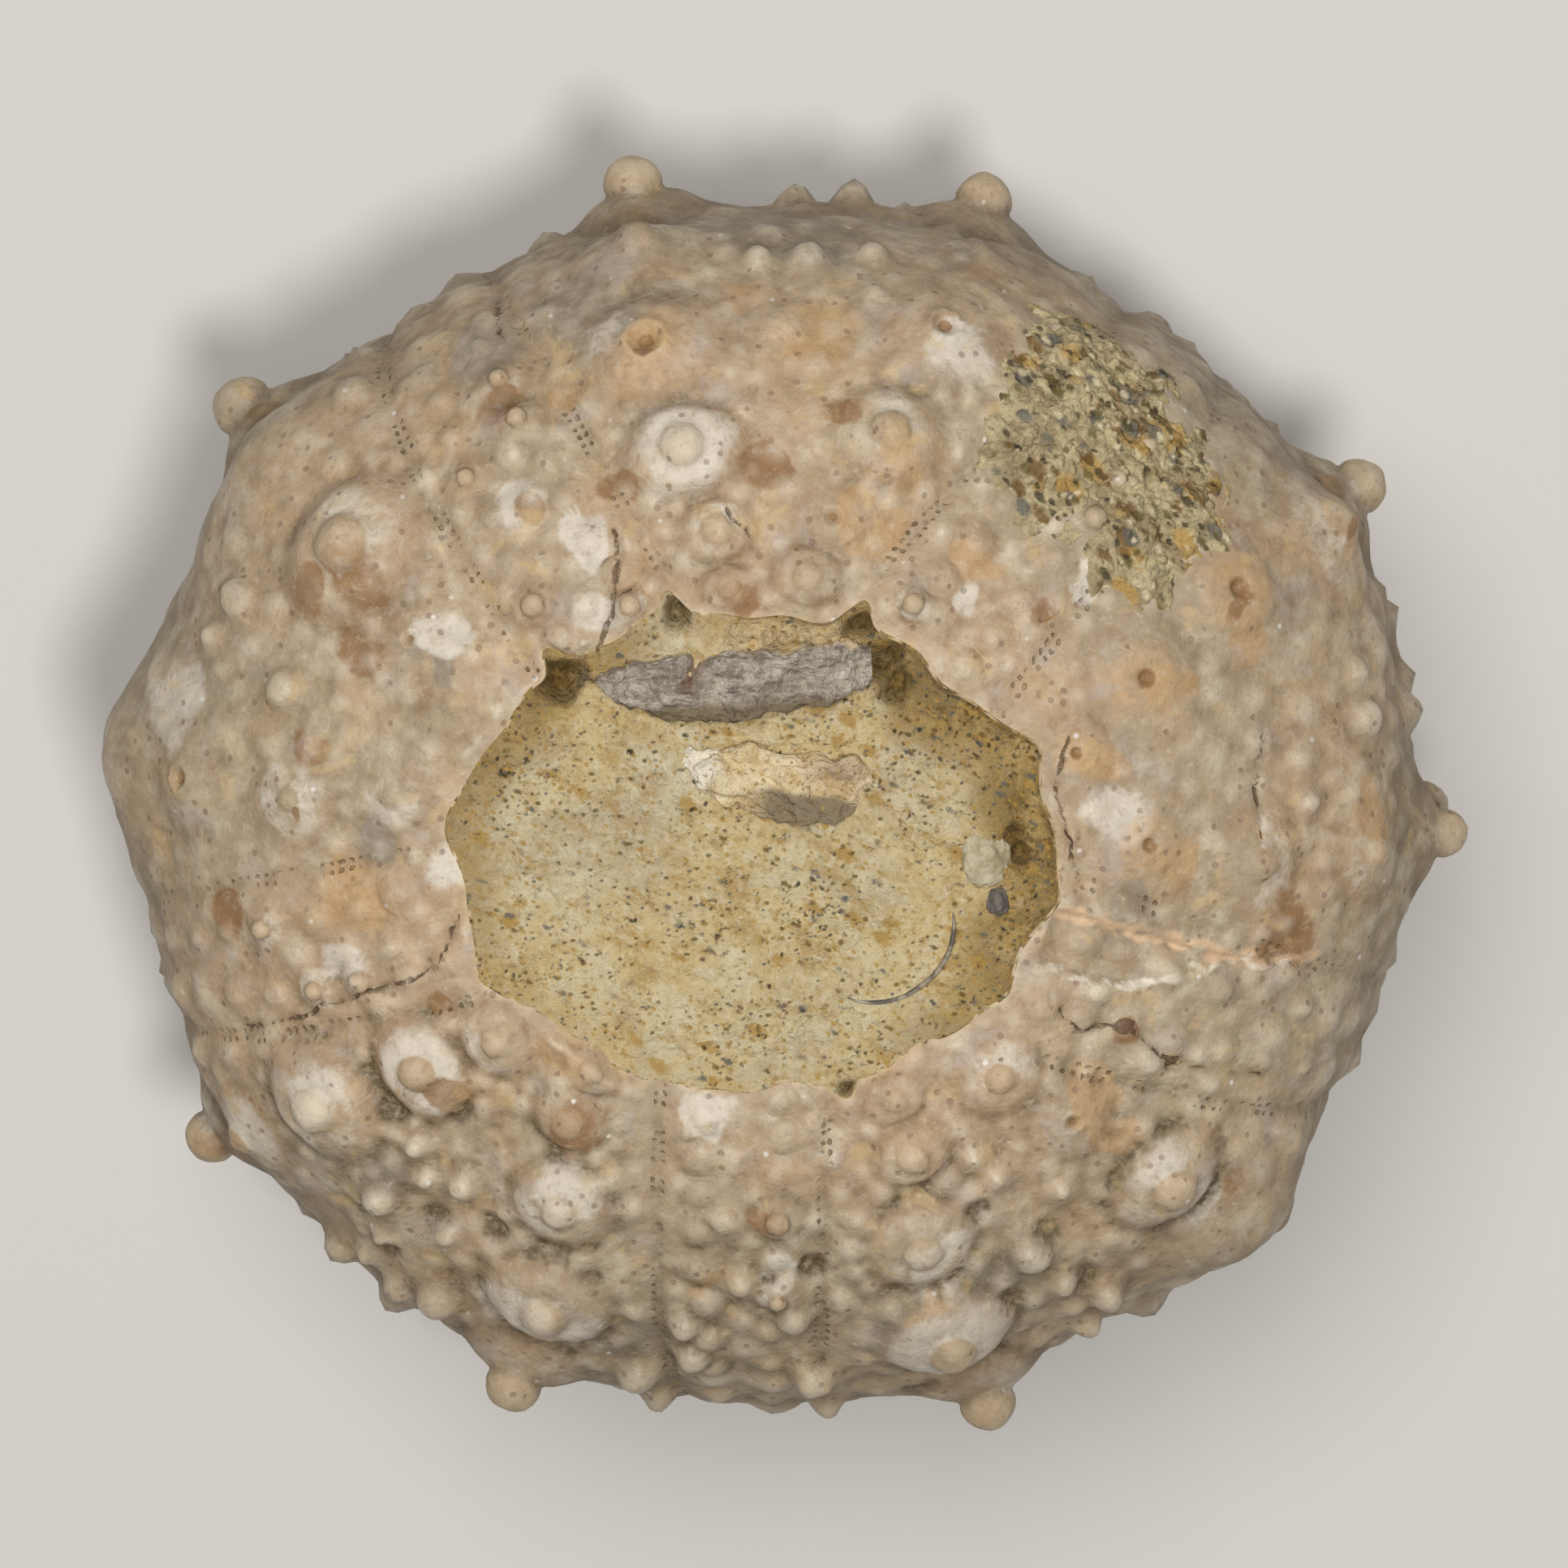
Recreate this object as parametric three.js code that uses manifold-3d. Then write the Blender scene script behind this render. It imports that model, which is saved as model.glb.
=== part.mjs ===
// A fossil regular sea urchin, lying on its domed top with the mouth side up.
//
// The shell, called the test, is one piece of calcite. Ten columns of primary tubercles, each a ball on
// a conical boss, run over it from the mouth opening to the apex, two columns in each of five zones. The
// mouth opening has ten gill notches and is filled with limestone. Bits of jaw, plate and shell, and two
// grains, lie in that filling, and a crust of sandy sediment sticks to one shoulder of the test.
//
// Millimetres, +Z up. The origin is where the worn apex stands, under the middle of the test.
import * as THREE from "three";
import { mergeVertices } from "three/addons/utils/BufferGeometryUtils.js";
import Module from "manifold-3d";

const wasm = await Module();
wasm.setup();

// Driving dimensions of the test, measured from its middle, which is at the height of its widest girth.
const GIRTH_HEIGHT = 12.35;
const HALF_WIDTH_X = 16.15;
const HALF_WIDTH_Y = 15.15;
const ORAL_HEIGHT = 8.3;
const APICAL_HEIGHT = 12.6;
const ORAL_SQUARENESS = 2.5;
const APICAL_SQUARENESS = 2.15;
const LEAN = 0.3;
const LEAN_AZIMUTH = 215;
const MOUTH_X = -0.8;
const MOUTH_Y = -0.05;
const BODY_DETAIL = 8;

// Tubercle columns, two to a zone. A column bends from its azimuth at the girth to the one at the mouth,
// and its tubercles start part of a plate on from the latitudes given.
const COLUMNS = [
  { girth: -2.5, mouth: 4, start: -0.45 },
  { girth: 28.5, mouth: 15, start: -0.1 },
  { girth: 71.6, mouth: 80, start: 0.1 },
  { girth: 104, mouth: 96, start: -0.15 },
  { girth: 144.5, mouth: 156, start: 0 },
  { girth: 174.7, mouth: 170, start: 0.35 },
  { girth: 210.5, mouth: 217, start: -0.25 },
  { girth: 244.6, mouth: 233, start: -0.1 },
  { girth: 289, mouth: 299, start: 0.1 },
  { girth: 319, mouth: 316, start: -0.1 },
];
const PLATE_LATITUDES = [49, 42.5, 33.5, 22.5, 10, -3.5, -17, -30, -41.5, -51.5, -60];
const BEND_FROM_LATITUDE = 25;
const BEND_TO_LATITUDE = 50;
const LARGEST_BALL = 0.85;
const LARGEST_AT_LATITUDE = 3;
const SIZE_FALL_OFF = 50;
const SMALLEST_SOLID_BALL = 0.27;
const TUBERCLE_SIDES = 6;

// Tubercles that have lost their ball to wear or breakage, as the plates on each column.
const PLATES_WITHOUT_BALL = [
  [1, 2, 3],
  [1, 2, 3, 4],
  [1, 3, 4],
  [2, 3, 4],
  [1, 2, 4],
  [1, 2, 3, 4, 5],
  [],
  [],
  [],
  [2, 5],
];

// The mouth opening, with its ten gill notches, and the filling.
const MOUTH_HALF_X = 7.4;
const MOUTH_HALF_Y = 5.9;
const MOUTH_FLOOR = 17.6;
const NOTCH_AZIMUTHS = [20.7, 66.4, 107.9, 135.3, 173.8, 204.4, 244.6, 290.7, 330, 351.2];
const NOTCH_DEPTH = 0.5;
const NOTCH_HALF_ANGLE = 3;
const FILLING_TOP = 20.1;
const GAP = 0.1;

const LATHE_AXIS = new THREE.Vector3(0, 1, 0);
const radians = THREE.MathUtils.degToRad;

// The smooth test without its tubercles: a point at a latitude and azimuth, in degrees, about its middle.
function bodyPoint(latitude, azimuth) {
  const flat = Math.cos(radians(latitude));
  const rise = Math.sin(radians(latitude));
  const turn = radians(azimuth);
  const oval = Math.hypot(Math.cos(turn) / HALF_WIDTH_X, Math.sin(turn) / HALF_WIDTH_Y);
  const halfWidth = 1 / oval + LEAN * Math.cos(radians(azimuth - LEAN_AZIMUTH));
  const height = rise > 0 ? ORAL_HEIGHT : APICAL_HEIGHT;
  const power = rise > 0 ? ORAL_SQUARENESS : APICAL_SQUARENESS;
  const sum = (flat / halfWidth) ** power + (Math.abs(rise) / height) ** power;
  const reach = sum ** (-1 / power);
  const towardsMouth = Math.max(0, (reach * rise) / ORAL_HEIGHT) ** 2;
  return new THREE.Vector3(
    reach * flat * Math.cos(turn) + MOUTH_X * towardsMouth,
    reach * flat * Math.sin(turn) + MOUTH_Y * towardsMouth,
    reach * rise + GIRTH_HEIGHT,
  );
}

function bodyNormal(latitude, azimuth) {
  const step = 0.5;
  const north = bodyPoint(latitude + step, azimuth).sub(bodyPoint(latitude - step, azimuth));
  const east = bodyPoint(latitude, azimuth + step).sub(bodyPoint(latitude, azimuth - step));
  return east.cross(north).normalize();
}

// A closed three.js geometry as a manifold-3d solid, and back again.
function solidFrom(geometry) {
  const bare = new THREE.BufferGeometry();
  bare.setAttribute("position", geometry.getAttribute("position"));
  bare.setIndex(geometry.index);
  const merged = mergeVertices(bare, 1e-4);
  const mesh = new wasm.Mesh({
    numProp: 3,
    vertProperties: new Float32Array(merged.attributes.position.array),
    triVerts: new Uint32Array(merged.index.array),
  });
  return new wasm.Manifold(mesh);
}

function geometryFrom(solid) {
  const mesh = solid.getMesh();
  const geometry = new THREE.BufferGeometry();
  geometry.setAttribute("position", new THREE.BufferAttribute(mesh.vertProperties, 3));
  geometry.setIndex(new THREE.BufferAttribute(mesh.triVerts, 1));
  geometry.computeVertexNormals();
  return geometry;
}

function stone(color, roughness) {
  return new THREE.MeshStandardMaterial({ color, roughness, metalness: 0 });
}

function named(name, geometry, material) {
  const mesh = new THREE.Mesh(geometry, material);
  mesh.name = name;
  return mesh;
}

// Each vertex of a unit icosahedron sphere is pushed out to the body.
function bodyGeometry() {
  const geometry = new THREE.IcosahedronGeometry(1, BODY_DETAIL);
  const positions = geometry.getAttribute("position");
  const direction = new THREE.Vector3();
  for (let i = 0; i < positions.count; i++) {
    direction.fromBufferAttribute(positions, i).normalize();
    const latitude = THREE.MathUtils.radToDeg(Math.asin(direction.z));
    const azimuth = THREE.MathUtils.radToDeg(Math.atan2(direction.y, direction.x));
    const point = bodyPoint(latitude, azimuth);
    positions.setXYZ(i, point.x, point.y, point.z);
  }
  return geometry;
}

// A primary tubercle: a conical boss sunk a little in the body, with the ball that its spine sat on, if
// it is still there. Both profiles are in radii of the ball.
const WHOLE_TUBERCLE = [[0, -0.3], [1.95, -0.3], [0.8, 0.95], [0.98, 1.45], [0, 2.05]];
const BARE_BOSS = [[0, -0.3], [1.95, -0.3], [0.85, 0.85], [0, 1.1]];

function tubercleGeometry(ball, profile) {
  const points = profile.map(([radius, height]) => new THREE.Vector2(radius * ball, height * ball));
  return new THREE.LatheGeometry(points, TUBERCLE_SIDES);
}

function ballRadius(latitude) {
  return LARGEST_BALL * Math.exp(-(((latitude - LARGEST_AT_LATITUDE) / SIZE_FALL_OFF) ** 2));
}

function columnAzimuth(column, latitude) {
  const bend = THREE.MathUtils.smoothstep(latitude, BEND_FROM_LATITUDE, BEND_TO_LATITUDE);
  return THREE.MathUtils.lerp(column.girth, column.mouth, bend);
}

// The latitude that lies a whole or part number of plates down a column.
function plateLatitude(place) {
  const last = PLATE_LATITUDES.length - 2;
  const index = THREE.MathUtils.clamp(Math.floor(place), 0, last);
  return THREE.MathUtils.lerp(PLATE_LATITUDES[index], PLATE_LATITUDES[index + 1], place - index);
}

function overlapsMouth(point, margin) {
  const across = (point.x - MOUTH_X) / (MOUTH_HALF_X + margin);
  const along = (point.y - MOUTH_Y) / (MOUTH_HALF_Y + margin);
  return point.z > GIRTH_HEIGHT && Math.hypot(across, along) < 1;
}

function tubercleSolids() {
  const solids = [];
  for (const [index, column] of COLUMNS.entries()) {
    for (let plate = 0; plate < PLATE_LATITUDES.length - 1; plate++) {
      const latitude = plateLatitude(plate + column.start);
      const ball = ballRadius(latitude);
      if (ball < SMALLEST_SOLID_BALL) continue;
      const azimuth = columnAzimuth(column, latitude);
      const foot = bodyPoint(latitude, azimuth);
      if (overlapsMouth(foot, 1.2 * ball)) continue;
      const bare = PLATES_WITHOUT_BALL[index].includes(plate);
      const geometry = tubercleGeometry(ball, bare ? BARE_BOSS : WHOLE_TUBERCLE);
      const outward = bodyNormal(latitude, azimuth);
      geometry.applyQuaternion(new THREE.Quaternion().setFromUnitVectors(LATHE_AXIS, outward));
      solids.push(solidFrom(geometry.translate(foot.x, foot.y, foot.z)));
    }
  }
  return solids;
}

// The mouth's outline: straight edges round an oval, with a gill notch at each corner.
function mouthOutline(inset) {
  const outline = [];
  for (const notch of NOTCH_AZIMUTHS) {
    for (const side of [-1, 0, 1]) {
      const turn = radians(notch + side * NOTCH_HALF_ANGLE);
      const oval = Math.hypot(Math.cos(turn) / MOUTH_HALF_X, Math.sin(turn) / MOUTH_HALF_Y);
      const radius = 1 / oval + (side === 0 ? NOTCH_DEPTH : 0) - inset;
      const x = MOUTH_X + radius * Math.cos(turn);
      const y = MOUTH_Y + radius * Math.sin(turn);
      outline.push(new THREE.Vector2(x, y));
    }
  }
  return new THREE.Shape(outline);
}

function mouthPrism(inset, bottom, top) {
  const prism = new THREE.ExtrudeGeometry(mouthOutline(inset), {
    depth: top - bottom,
    bevelEnabled: false,
  });
  return solidFrom(prism.translate(0, 0, bottom));
}

// The test, with the mouth opened and the apex worn flat where it stands.
function testSolid() {
  const tubercles = tubercleSolids();
  let test = solidFrom(bodyGeometry());
  for (const tubercle of tubercles) test = test.add(tubercle);
  test = test.subtract(mouthPrism(0, MOUTH_FLOOR, MOUTH_FLOOR + 10));
  const shelf = new THREE.BoxGeometry(60, 60, 10).translate(0, 0, -5);
  return test.subtract(solidFrom(shelf));
}

// The bits that lie in the filling, each a separate piece: two bowed bars, a curved edge of a shell and
// two grains. A bar's bow is how far its middle stands off the line between its ends.
const JAW = { length: 6.9, width: 1.9, height: 1.5, bow: -0.4, place: [-1.4, 4.4, 19.95], turn: 3.4 };
const PLATE = { length: 4.7, width: 1.7, height: 0.7, bow: -0.3, place: [-0.2, 1.85, 20.1], turn: -9 };
const SLIVER = { radius: 1.78, thickness: 0.2, height: 0.7, place: [2.3, -1.9], from: 241, to: 373 };
const GREY_GRAIN = { radius: 0.62, place: [4.9, -0.27, 20.0] };
const DARK_GRAIN = { radius: 0.3, place: [5.22, -1.29, 20.1] };
const BAR_TILT = 12;
const SLIVER_STANDS_PROUD = 0.08;

function barGeometry({ length, width, height, bow, place, turn }, grow) {
  const half = length / 2 + grow;
  const reach = width + 2 * grow;
  const shape = new THREE.Shape();
  shape.moveTo(-half, 0);
  shape.quadraticCurveTo(0, bow + reach, half, 0);
  shape.quadraticCurveTo(0, bow - reach, -half, 0);
  const depth = height + 2 * grow;
  const bar = new THREE.ExtrudeGeometry(shape, { depth, bevelEnabled: false, curveSegments: 8 });
  bar.translate(0, 0, -depth / 2).rotateX(radians(BAR_TILT)).rotateZ(radians(turn));
  return bar.translate(...place);
}

function sliverGeometry({ radius, thickness, height, place, from, to }, grow) {
  const outer = radius + thickness / 2 + grow;
  const inner = radius - thickness / 2 - grow;
  const extra = grow / radius;
  const start = radians(from) - extra;
  const end = radians(to) + extra;
  const shape = new THREE.Shape();
  shape.absarc(0, 0, outer, start, end, false);
  shape.absarc(0, 0, inner, end, start, true);
  const depth = height + grow;
  const sliver = new THREE.ExtrudeGeometry(shape, { depth, bevelEnabled: false, curveSegments: 12 });
  return sliver.translate(...place, FILLING_TOP + SLIVER_STANDS_PROUD - depth);
}

function grainGeometry({ radius, place }, grow) {
  const grain = new THREE.IcosahedronGeometry(radius + grow, 1);
  return grain.scale(0.9, 1.1, 0.75).translate(...place);
}

// The filling, with a seat for each bit that lies in it.
function fillingSolid() {
  const seats = [
    barGeometry(JAW, GAP),
    barGeometry(PLATE, GAP),
    sliverGeometry(SLIVER, GAP),
    grainGeometry(GREY_GRAIN, GAP),
    grainGeometry(DARK_GRAIN, GAP),
  ];
  let filling = mouthPrism(GAP, MOUTH_FLOOR + GAP, FILLING_TOP);
  for (const seat of seats) filling = filling.subtract(solidFrom(seat));
  return filling;
}

// The crust: a flat lump of sediment moulded on the shoulder of the test, thinning out to its edge.
const CRUST = { latitude: 23, azimuth: 50, halfAcross: 4.0, halfAlong: 3.2, halfThick: 1.0, sunk: 0.4 };
const CRUST_DETAIL = 4;

function crustSolid(test) {
  const { latitude, azimuth, halfAcross, halfAlong, halfThick, sunk } = CRUST;
  const outward = bodyNormal(latitude, azimuth);
  const east = new THREE.Vector3(-Math.sin(radians(azimuth)), Math.cos(radians(azimuth)), 0);
  const north = outward.clone().cross(east);
  const middle = bodyPoint(latitude, azimuth).addScaledVector(outward, -sunk);
  const lump = new THREE.IcosahedronGeometry(1, CRUST_DETAIL);
  lump.scale(halfAcross, halfAlong, halfThick);
  lump.applyMatrix4(new THREE.Matrix4().makeBasis(east, north, outward));
  lump.translate(middle.x, middle.y, middle.z);
  const clear = outward.clone().multiplyScalar(GAP);
  return solidFrom(lump).subtract(test.translate(clear.x, clear.y, clear.z)).subtract(test);
}

const calcite = stone(0xbfae98, 0.75);
const limestone = stone(0xd8c490, 0.95);
const grey = stone(0x8f8a88, 0.85);

const test = testSolid();
const group = new THREE.Group();
group.add(
  named("test", geometryFrom(test), calcite),
  named("matrix_plug", geometryFrom(fillingSolid()), limestone),
  named("jaw_fragment", barGeometry(JAW, 0), grey),
  named("plate_fragment", barGeometry(PLATE, 0), calcite),
  named("shell_sliver", sliverGeometry(SLIVER, 0), grey),
  named("grey_grain", grainGeometry(GREY_GRAIN, 0), grey),
  named("dark_grain", grainGeometry(DARK_GRAIN, 0), grey),
  named("sediment_crust", geometryFrom(crustSolid(test)), limestone),
);

export default group;
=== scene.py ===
from itertools import product

import bmesh
import bpy
import numpy as np
from mathutils import Matrix, Vector, noise
from mathutils.kdtree import KDTree


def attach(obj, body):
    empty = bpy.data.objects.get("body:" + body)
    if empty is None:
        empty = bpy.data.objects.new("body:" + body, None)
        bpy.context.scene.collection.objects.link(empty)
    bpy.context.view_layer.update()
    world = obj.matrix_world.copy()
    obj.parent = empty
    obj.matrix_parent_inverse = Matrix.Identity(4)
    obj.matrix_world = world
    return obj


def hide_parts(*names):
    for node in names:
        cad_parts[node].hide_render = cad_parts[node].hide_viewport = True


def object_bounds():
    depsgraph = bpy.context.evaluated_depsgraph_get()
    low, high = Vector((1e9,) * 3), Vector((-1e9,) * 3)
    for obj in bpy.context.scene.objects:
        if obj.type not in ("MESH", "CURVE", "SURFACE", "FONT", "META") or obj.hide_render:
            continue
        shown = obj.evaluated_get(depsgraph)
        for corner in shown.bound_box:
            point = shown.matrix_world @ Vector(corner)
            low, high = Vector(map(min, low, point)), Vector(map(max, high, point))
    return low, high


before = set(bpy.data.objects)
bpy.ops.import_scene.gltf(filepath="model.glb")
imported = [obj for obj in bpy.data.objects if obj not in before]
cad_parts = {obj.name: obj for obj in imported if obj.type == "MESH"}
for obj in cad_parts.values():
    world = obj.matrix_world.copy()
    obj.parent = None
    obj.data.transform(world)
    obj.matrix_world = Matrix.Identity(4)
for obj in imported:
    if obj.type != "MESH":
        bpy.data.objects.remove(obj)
cad_low, cad_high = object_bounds()
scene = bpy.context.scene


# ---------------------------------------------------------------- test
# The shell of a fossil sea urchin, lying on its domed top with the mouth side up: many small calcite
# plates grown together, each with a ball-topped tubercle that a spine turned on. Worn, stained by iron
# and clay, cracked on one side, and all one piece of stone now.
GIRTH_HEIGHT = 12.35  # sizes in this file are millimetres until a mesh is written
HALF_WIDTH_X, HALF_WIDTH_Y = 16.15, 15.15
ORAL_HEIGHT, APICAL_HEIGHT = 8.3, 12.6
ORAL_SQUARENESS, APICAL_SQUARENESS = 2.5, 2.15
LEAN, LEAN_AZIMUTH = 0.3, 215
MOUTH = np.array([-0.8, -0.05])
MOUTH_HALF_X, MOUTH_HALF_Y = 7.4, 5.9
MOUTH_FLOOR = 17.6
FAR = 1e3
# Gill notches round the mouth: azimuth and depth.
NOTCHES = [
    (20.7, 0.15), (66.4, 0.55), (107.9, 0.6), (135.3, 0.65), (173.8, 0.0),
    (204.4, 0.1), (244.6, 0.1), (290.7, 0.5), (330, 0.1), (351.2, 0.1),
]
COLUMNS = [
    (-2.5, 4, -0.45), (28.5, 15, -0.1), (71.6, 80, 0.1), (104, 96, -0.15), (144.5, 156, 0),
    (174.7, 170, 0.35), (210.5, 217, -0.25), (244.6, 233, -0.1), (289, 299, 0.1), (319, 316, -0.1),
]
PLATE_LATITUDES = [49, 42.5, 33.5, 22.5, 10, -3.5, -17, -30, -41.5, -51.5, -60]
AMBULACRA = [50, 124.5, 193.5, 266.5, 338]
rng = np.random.default_rng(41)


def body_point(latitude, azimuth):
    """Points of the smooth shell, without tubercles, at latitudes and azimuths in degrees."""
    turn, tip = np.radians(azimuth), np.radians(latitude)
    flat, rise = np.maximum(np.cos(tip), 1e-6), np.sin(tip)
    oval = np.hypot(np.cos(turn) / HALF_WIDTH_X, np.sin(turn) / HALF_WIDTH_Y)
    half = 1 / oval + LEAN * np.cos(turn - np.radians(LEAN_AZIMUTH))
    height = np.where(rise > 0, ORAL_HEIGHT, APICAL_HEIGHT)
    power = np.where(rise > 0, ORAL_SQUARENESS, APICAL_SQUARENESS)
    reach = ((flat / half) ** power + (np.abs(rise) / height) ** power) ** (-1 / power)
    lift = np.maximum(0, reach * rise / ORAL_HEIGHT) ** 2
    x = reach * flat * np.cos(turn) + MOUTH[0] * lift
    y = reach * flat * np.sin(turn) + MOUTH[1] * lift
    return np.stack([x, y, reach * rise + GIRTH_HEIGHT], axis=-1)


def body_frame(latitude, azimuth):
    """East, north and outward directions on the smooth shell."""
    tip = np.clip(latitude, -88, 88)
    east = body_point(tip, azimuth + 0.5) - body_point(tip, azimuth - 0.5)
    north = body_point(tip + 0.5, azimuth) - body_point(tip - 0.5, azimuth)
    east = east / np.linalg.norm(east, axis=-1, keepdims=True)
    out = np.cross(east, north)
    out = out / np.linalg.norm(out, axis=-1, keepdims=True)
    return east, np.cross(out, east), out


def step(value, low, high):
    """0 up to low, 1 from high on, eased between."""
    t = np.clip((value - low) / (high - low), 0, 1)
    return t * t * (3 - 2 * t)


def fade(value, low, high):
    return 1 - step(value, low, high)


def mouth_radius(azimuth):
    """Radius of the mouth opening: straight sides between gill notches."""
    turns = np.radians([notch + side for notch, _ in NOTCHES for side in (-3, 3)])
    radii = 1 / np.hypot(np.cos(turns) / MOUTH_HALF_X, np.sin(turns) / MOUTH_HALF_Y)
    corners = np.stack([radii * np.cos(turns), radii * np.sin(turns)], axis=1)
    grid = np.radians(np.arange(720) / 2)
    ray_x, ray_y = np.cos(grid), np.sin(grid)
    best = np.full(720, FAR)
    for a, b in zip(corners, np.roll(corners, -1, axis=0)):
        edge = b - a
        cross = ray_x * edge[1] - ray_y * edge[0]
        cross = np.where(abs(cross) < 1e-9, 1e-9, cross)
        along = (a[0] * edge[1] - a[1] * edge[0]) / cross
        part = (a[0] * ray_y - a[1] * ray_x) / cross
        hit = (along > 0) & (part >= -1e-6) & (part <= 1 + 1e-6)
        best = np.where(hit, np.minimum(best, along), best)
    window = np.hanning(27) / np.hanning(27).sum()
    best = np.convolve(np.concatenate([best[-13:], best, best[:13]]), window, "valid")
    radius = np.interp(azimuth % 360, np.arange(721) / 2, np.append(best, best[0]))
    for notch, depth in NOTCHES:
        off = (azimuth - notch + 180) % 360 - 180
        radius = radius + depth * np.exp(-((off / 3.0) ** 2))
    turn = np.radians(azimuth)
    return radius + 0.09 * np.sin(7 * turn + 1) + 0.07 * np.sin(12 * turn + 2.6) + 0.05 * np.sin(23 * turn)


def rim_distance(points):
    """How far outside the mouth opening a point is, seen from above. Underneath it is large."""
    x, y = points[..., 0] - MOUTH[0], points[..., 1] - MOUTH[1]
    away = np.hypot(x, y) - mouth_radius(np.degrees(np.arctan2(y, x)))
    return np.where(points[..., 2] > GIRTH_HEIGHT, away, FAR)


# Primary tubercles: column and plate, how it is preserved, and its size against its neighbours.
PRESERVED = {
    (0, 1): ("worn", 0.8), (0, 2): ("disc", 1.6), (0, 3): ("worn", 1), (0, 4): ("worn", 0.7),
    (0, 5): ("whole", 0.86), (6, 4): ("worn", 0.8), (9, 4): ("dome", 1.35), (1, 1): ("disc", 1.35),
    (1, 2): ("disc", 1.7), (1, 3): ("disc", 1.6), (1, 4): ("worn", 1.25), (1, 5): ("whole", 1),
    (2, 0): ("whole", 1.1), (2, 1): ("broken", 0.95), (2, 3): ("broken", 0.9), (2, 4): ("worn", 0.6),
    (2, 5): ("whole", 1.02), (3, 0): ("whole", 0.9), (3, 2): ("whole", 1.2), (3, 3): ("broken", 1.2),
    (3, 4): ("worn", 1), (3, 5): ("whole", 1.02), (4, 1): ("worn", 0.9), (4, 2): ("broken", 0.7),
    (4, 3): ("whole", 1.25), (4, 4): ("dome", 1.1), (4, 5): ("whole", 1.1), (5, 1): ("worn", 0.8),
    (5, 2): ("worn", 0.8), (5, 3): ("broken", 0.75), (5, 4): ("dome", 1.2), (5, 5): ("dome", 1.1),
    (6, 2): ("whole", 1.1), (6, 3): ("whole", 1.05), (6, 5): ("whole", 0.95), (7, 1): ("whole", 1.05),
    (7, 5): ("whole", 0.82), (8, 5): ("whole", 0.82), (9, 2): ("broken", 0.8), (9, 5): ("worn", 1.35),
}
# Latitudes, and the radius of a ball there.
BALL_AT = ([-60, -40, -20, 0, 12, 22, 33, 42, 50], [0.34, 0.5, 0.68, 0.77, 0.74, 0.64, 0.5, 0.42, 0.33])
SHIFTED = {(4, 3): 3.5, (4, 2): 2.0}  # degrees nearer the mouth than the plates' spacing puts them
primaries = []
for column, (girth, mouth, start) in enumerate(COLUMNS):
    for plate in range(len(PLATE_LATITUDES) - 1):
        place = plate + start
        latitude = np.interp(place, range(len(PLATE_LATITUDES)), PLATE_LATITUDES)
        if place < 0:
            latitude -= (PLATE_LATITUDES[0] - PLATE_LATITUDES[1]) * place
        latitude += SHIFTED.get((column, plate), 0)
        azimuth = girth + (mouth - girth) * step(latitude, 25, 50)
        kind, size = PRESERVED.get((column, plate), ("whole", 1.0))
        if latitude < -8 and (column + plate) % 5 == 3:
            kind = "broken"
        if kind == "whole" and latitude > 14:
            kind = "soft"
        ball = np.interp(latitude, *BALL_AT) * size
        centre = body_point(latitude, azimuth)
        if rim_distance(centre) > 0.9 * ball + 0.1:
            primaries.append({"lat": latitude, "az": azimuth, "ball": ball, "kind": kind, "at": centre})

# Ambulacral tubercles: two rows in each narrow zone, largest by the mouth.
for middle in AMBULACRA:
    for side in (-1, 1):
        latitude = 50.5 + 1.5 * side
        while latitude > 17:
            ball = np.interp(latitude, [15, 30, 45, 55], [0.2, 0.27, 0.31, 0.25]) * rng.uniform(0.9, 1.15)
            around = np.hypot(*(body_point(latitude, middle)[:2] - MOUTH))
            off = np.interp(latitude, [15, 45], [0.72, 1.0]) * side + rng.uniform(-0.12, 0.12)
            azimuth = middle + np.degrees(off / around)
            centre = body_point(latitude, azimuth)
            if rim_distance(centre) > 0.35:
                kind = "ring" if rng.random() < 0.75 else "whole"
                primaries.append({"lat": latitude, "az": azimuth, "ball": ball, "kind": kind, "at": centre})
            latitude -= 4.4 + rng.uniform(-0.5, 0.6)

# Each has an areole, a bare round field that is narrowed where the next one is close.
for t in primaries:
    t["east"], t["north"], t["out"] = body_frame(t["lat"], t["az"])
    if t["kind"] in ("ring", "disc"):
        wide = 2.3 * t["ball"]
    else:
        wide = (2.7 if t["lat"] < 14 else 3.1) * t["ball"]
    others = [u for u in primaries if u is not t]
    room = [np.linalg.norm(u["at"] - t["at"]) * t["ball"] / (t["ball"] + u["ball"]) for u in others]
    t["long"] = min(wide, *room)
    t["wide"] = min(wide, 1.35 * t["long"])
domes = [t for t in primaries if t["kind"] == "dome"]
primaries = [t for t in primaries if t["kind"] != "dome"]


def new_ball(subdivisions):
    form = bmesh.new()
    bmesh.ops.create_icosphere(form, subdivisions=subdivisions, radius=1)
    return form


def ways_out(form):
    """The vertices of a ball as directions of length 1."""
    form.verts.index_update()
    way = np.array([v.co[:] for v in form.verts])
    return way / np.linalg.norm(way, axis=1, keepdims=True)


def directions(form):
    """Latitude and azimuth of each vertex of a ball."""
    way = ways_out(form)
    latitude = np.degrees(np.arcsin(np.clip(way[:, 2], -1, 1)))
    return latitude, np.degrees(np.arctan2(way[:, 1], way[:, 0])) % 360


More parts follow.
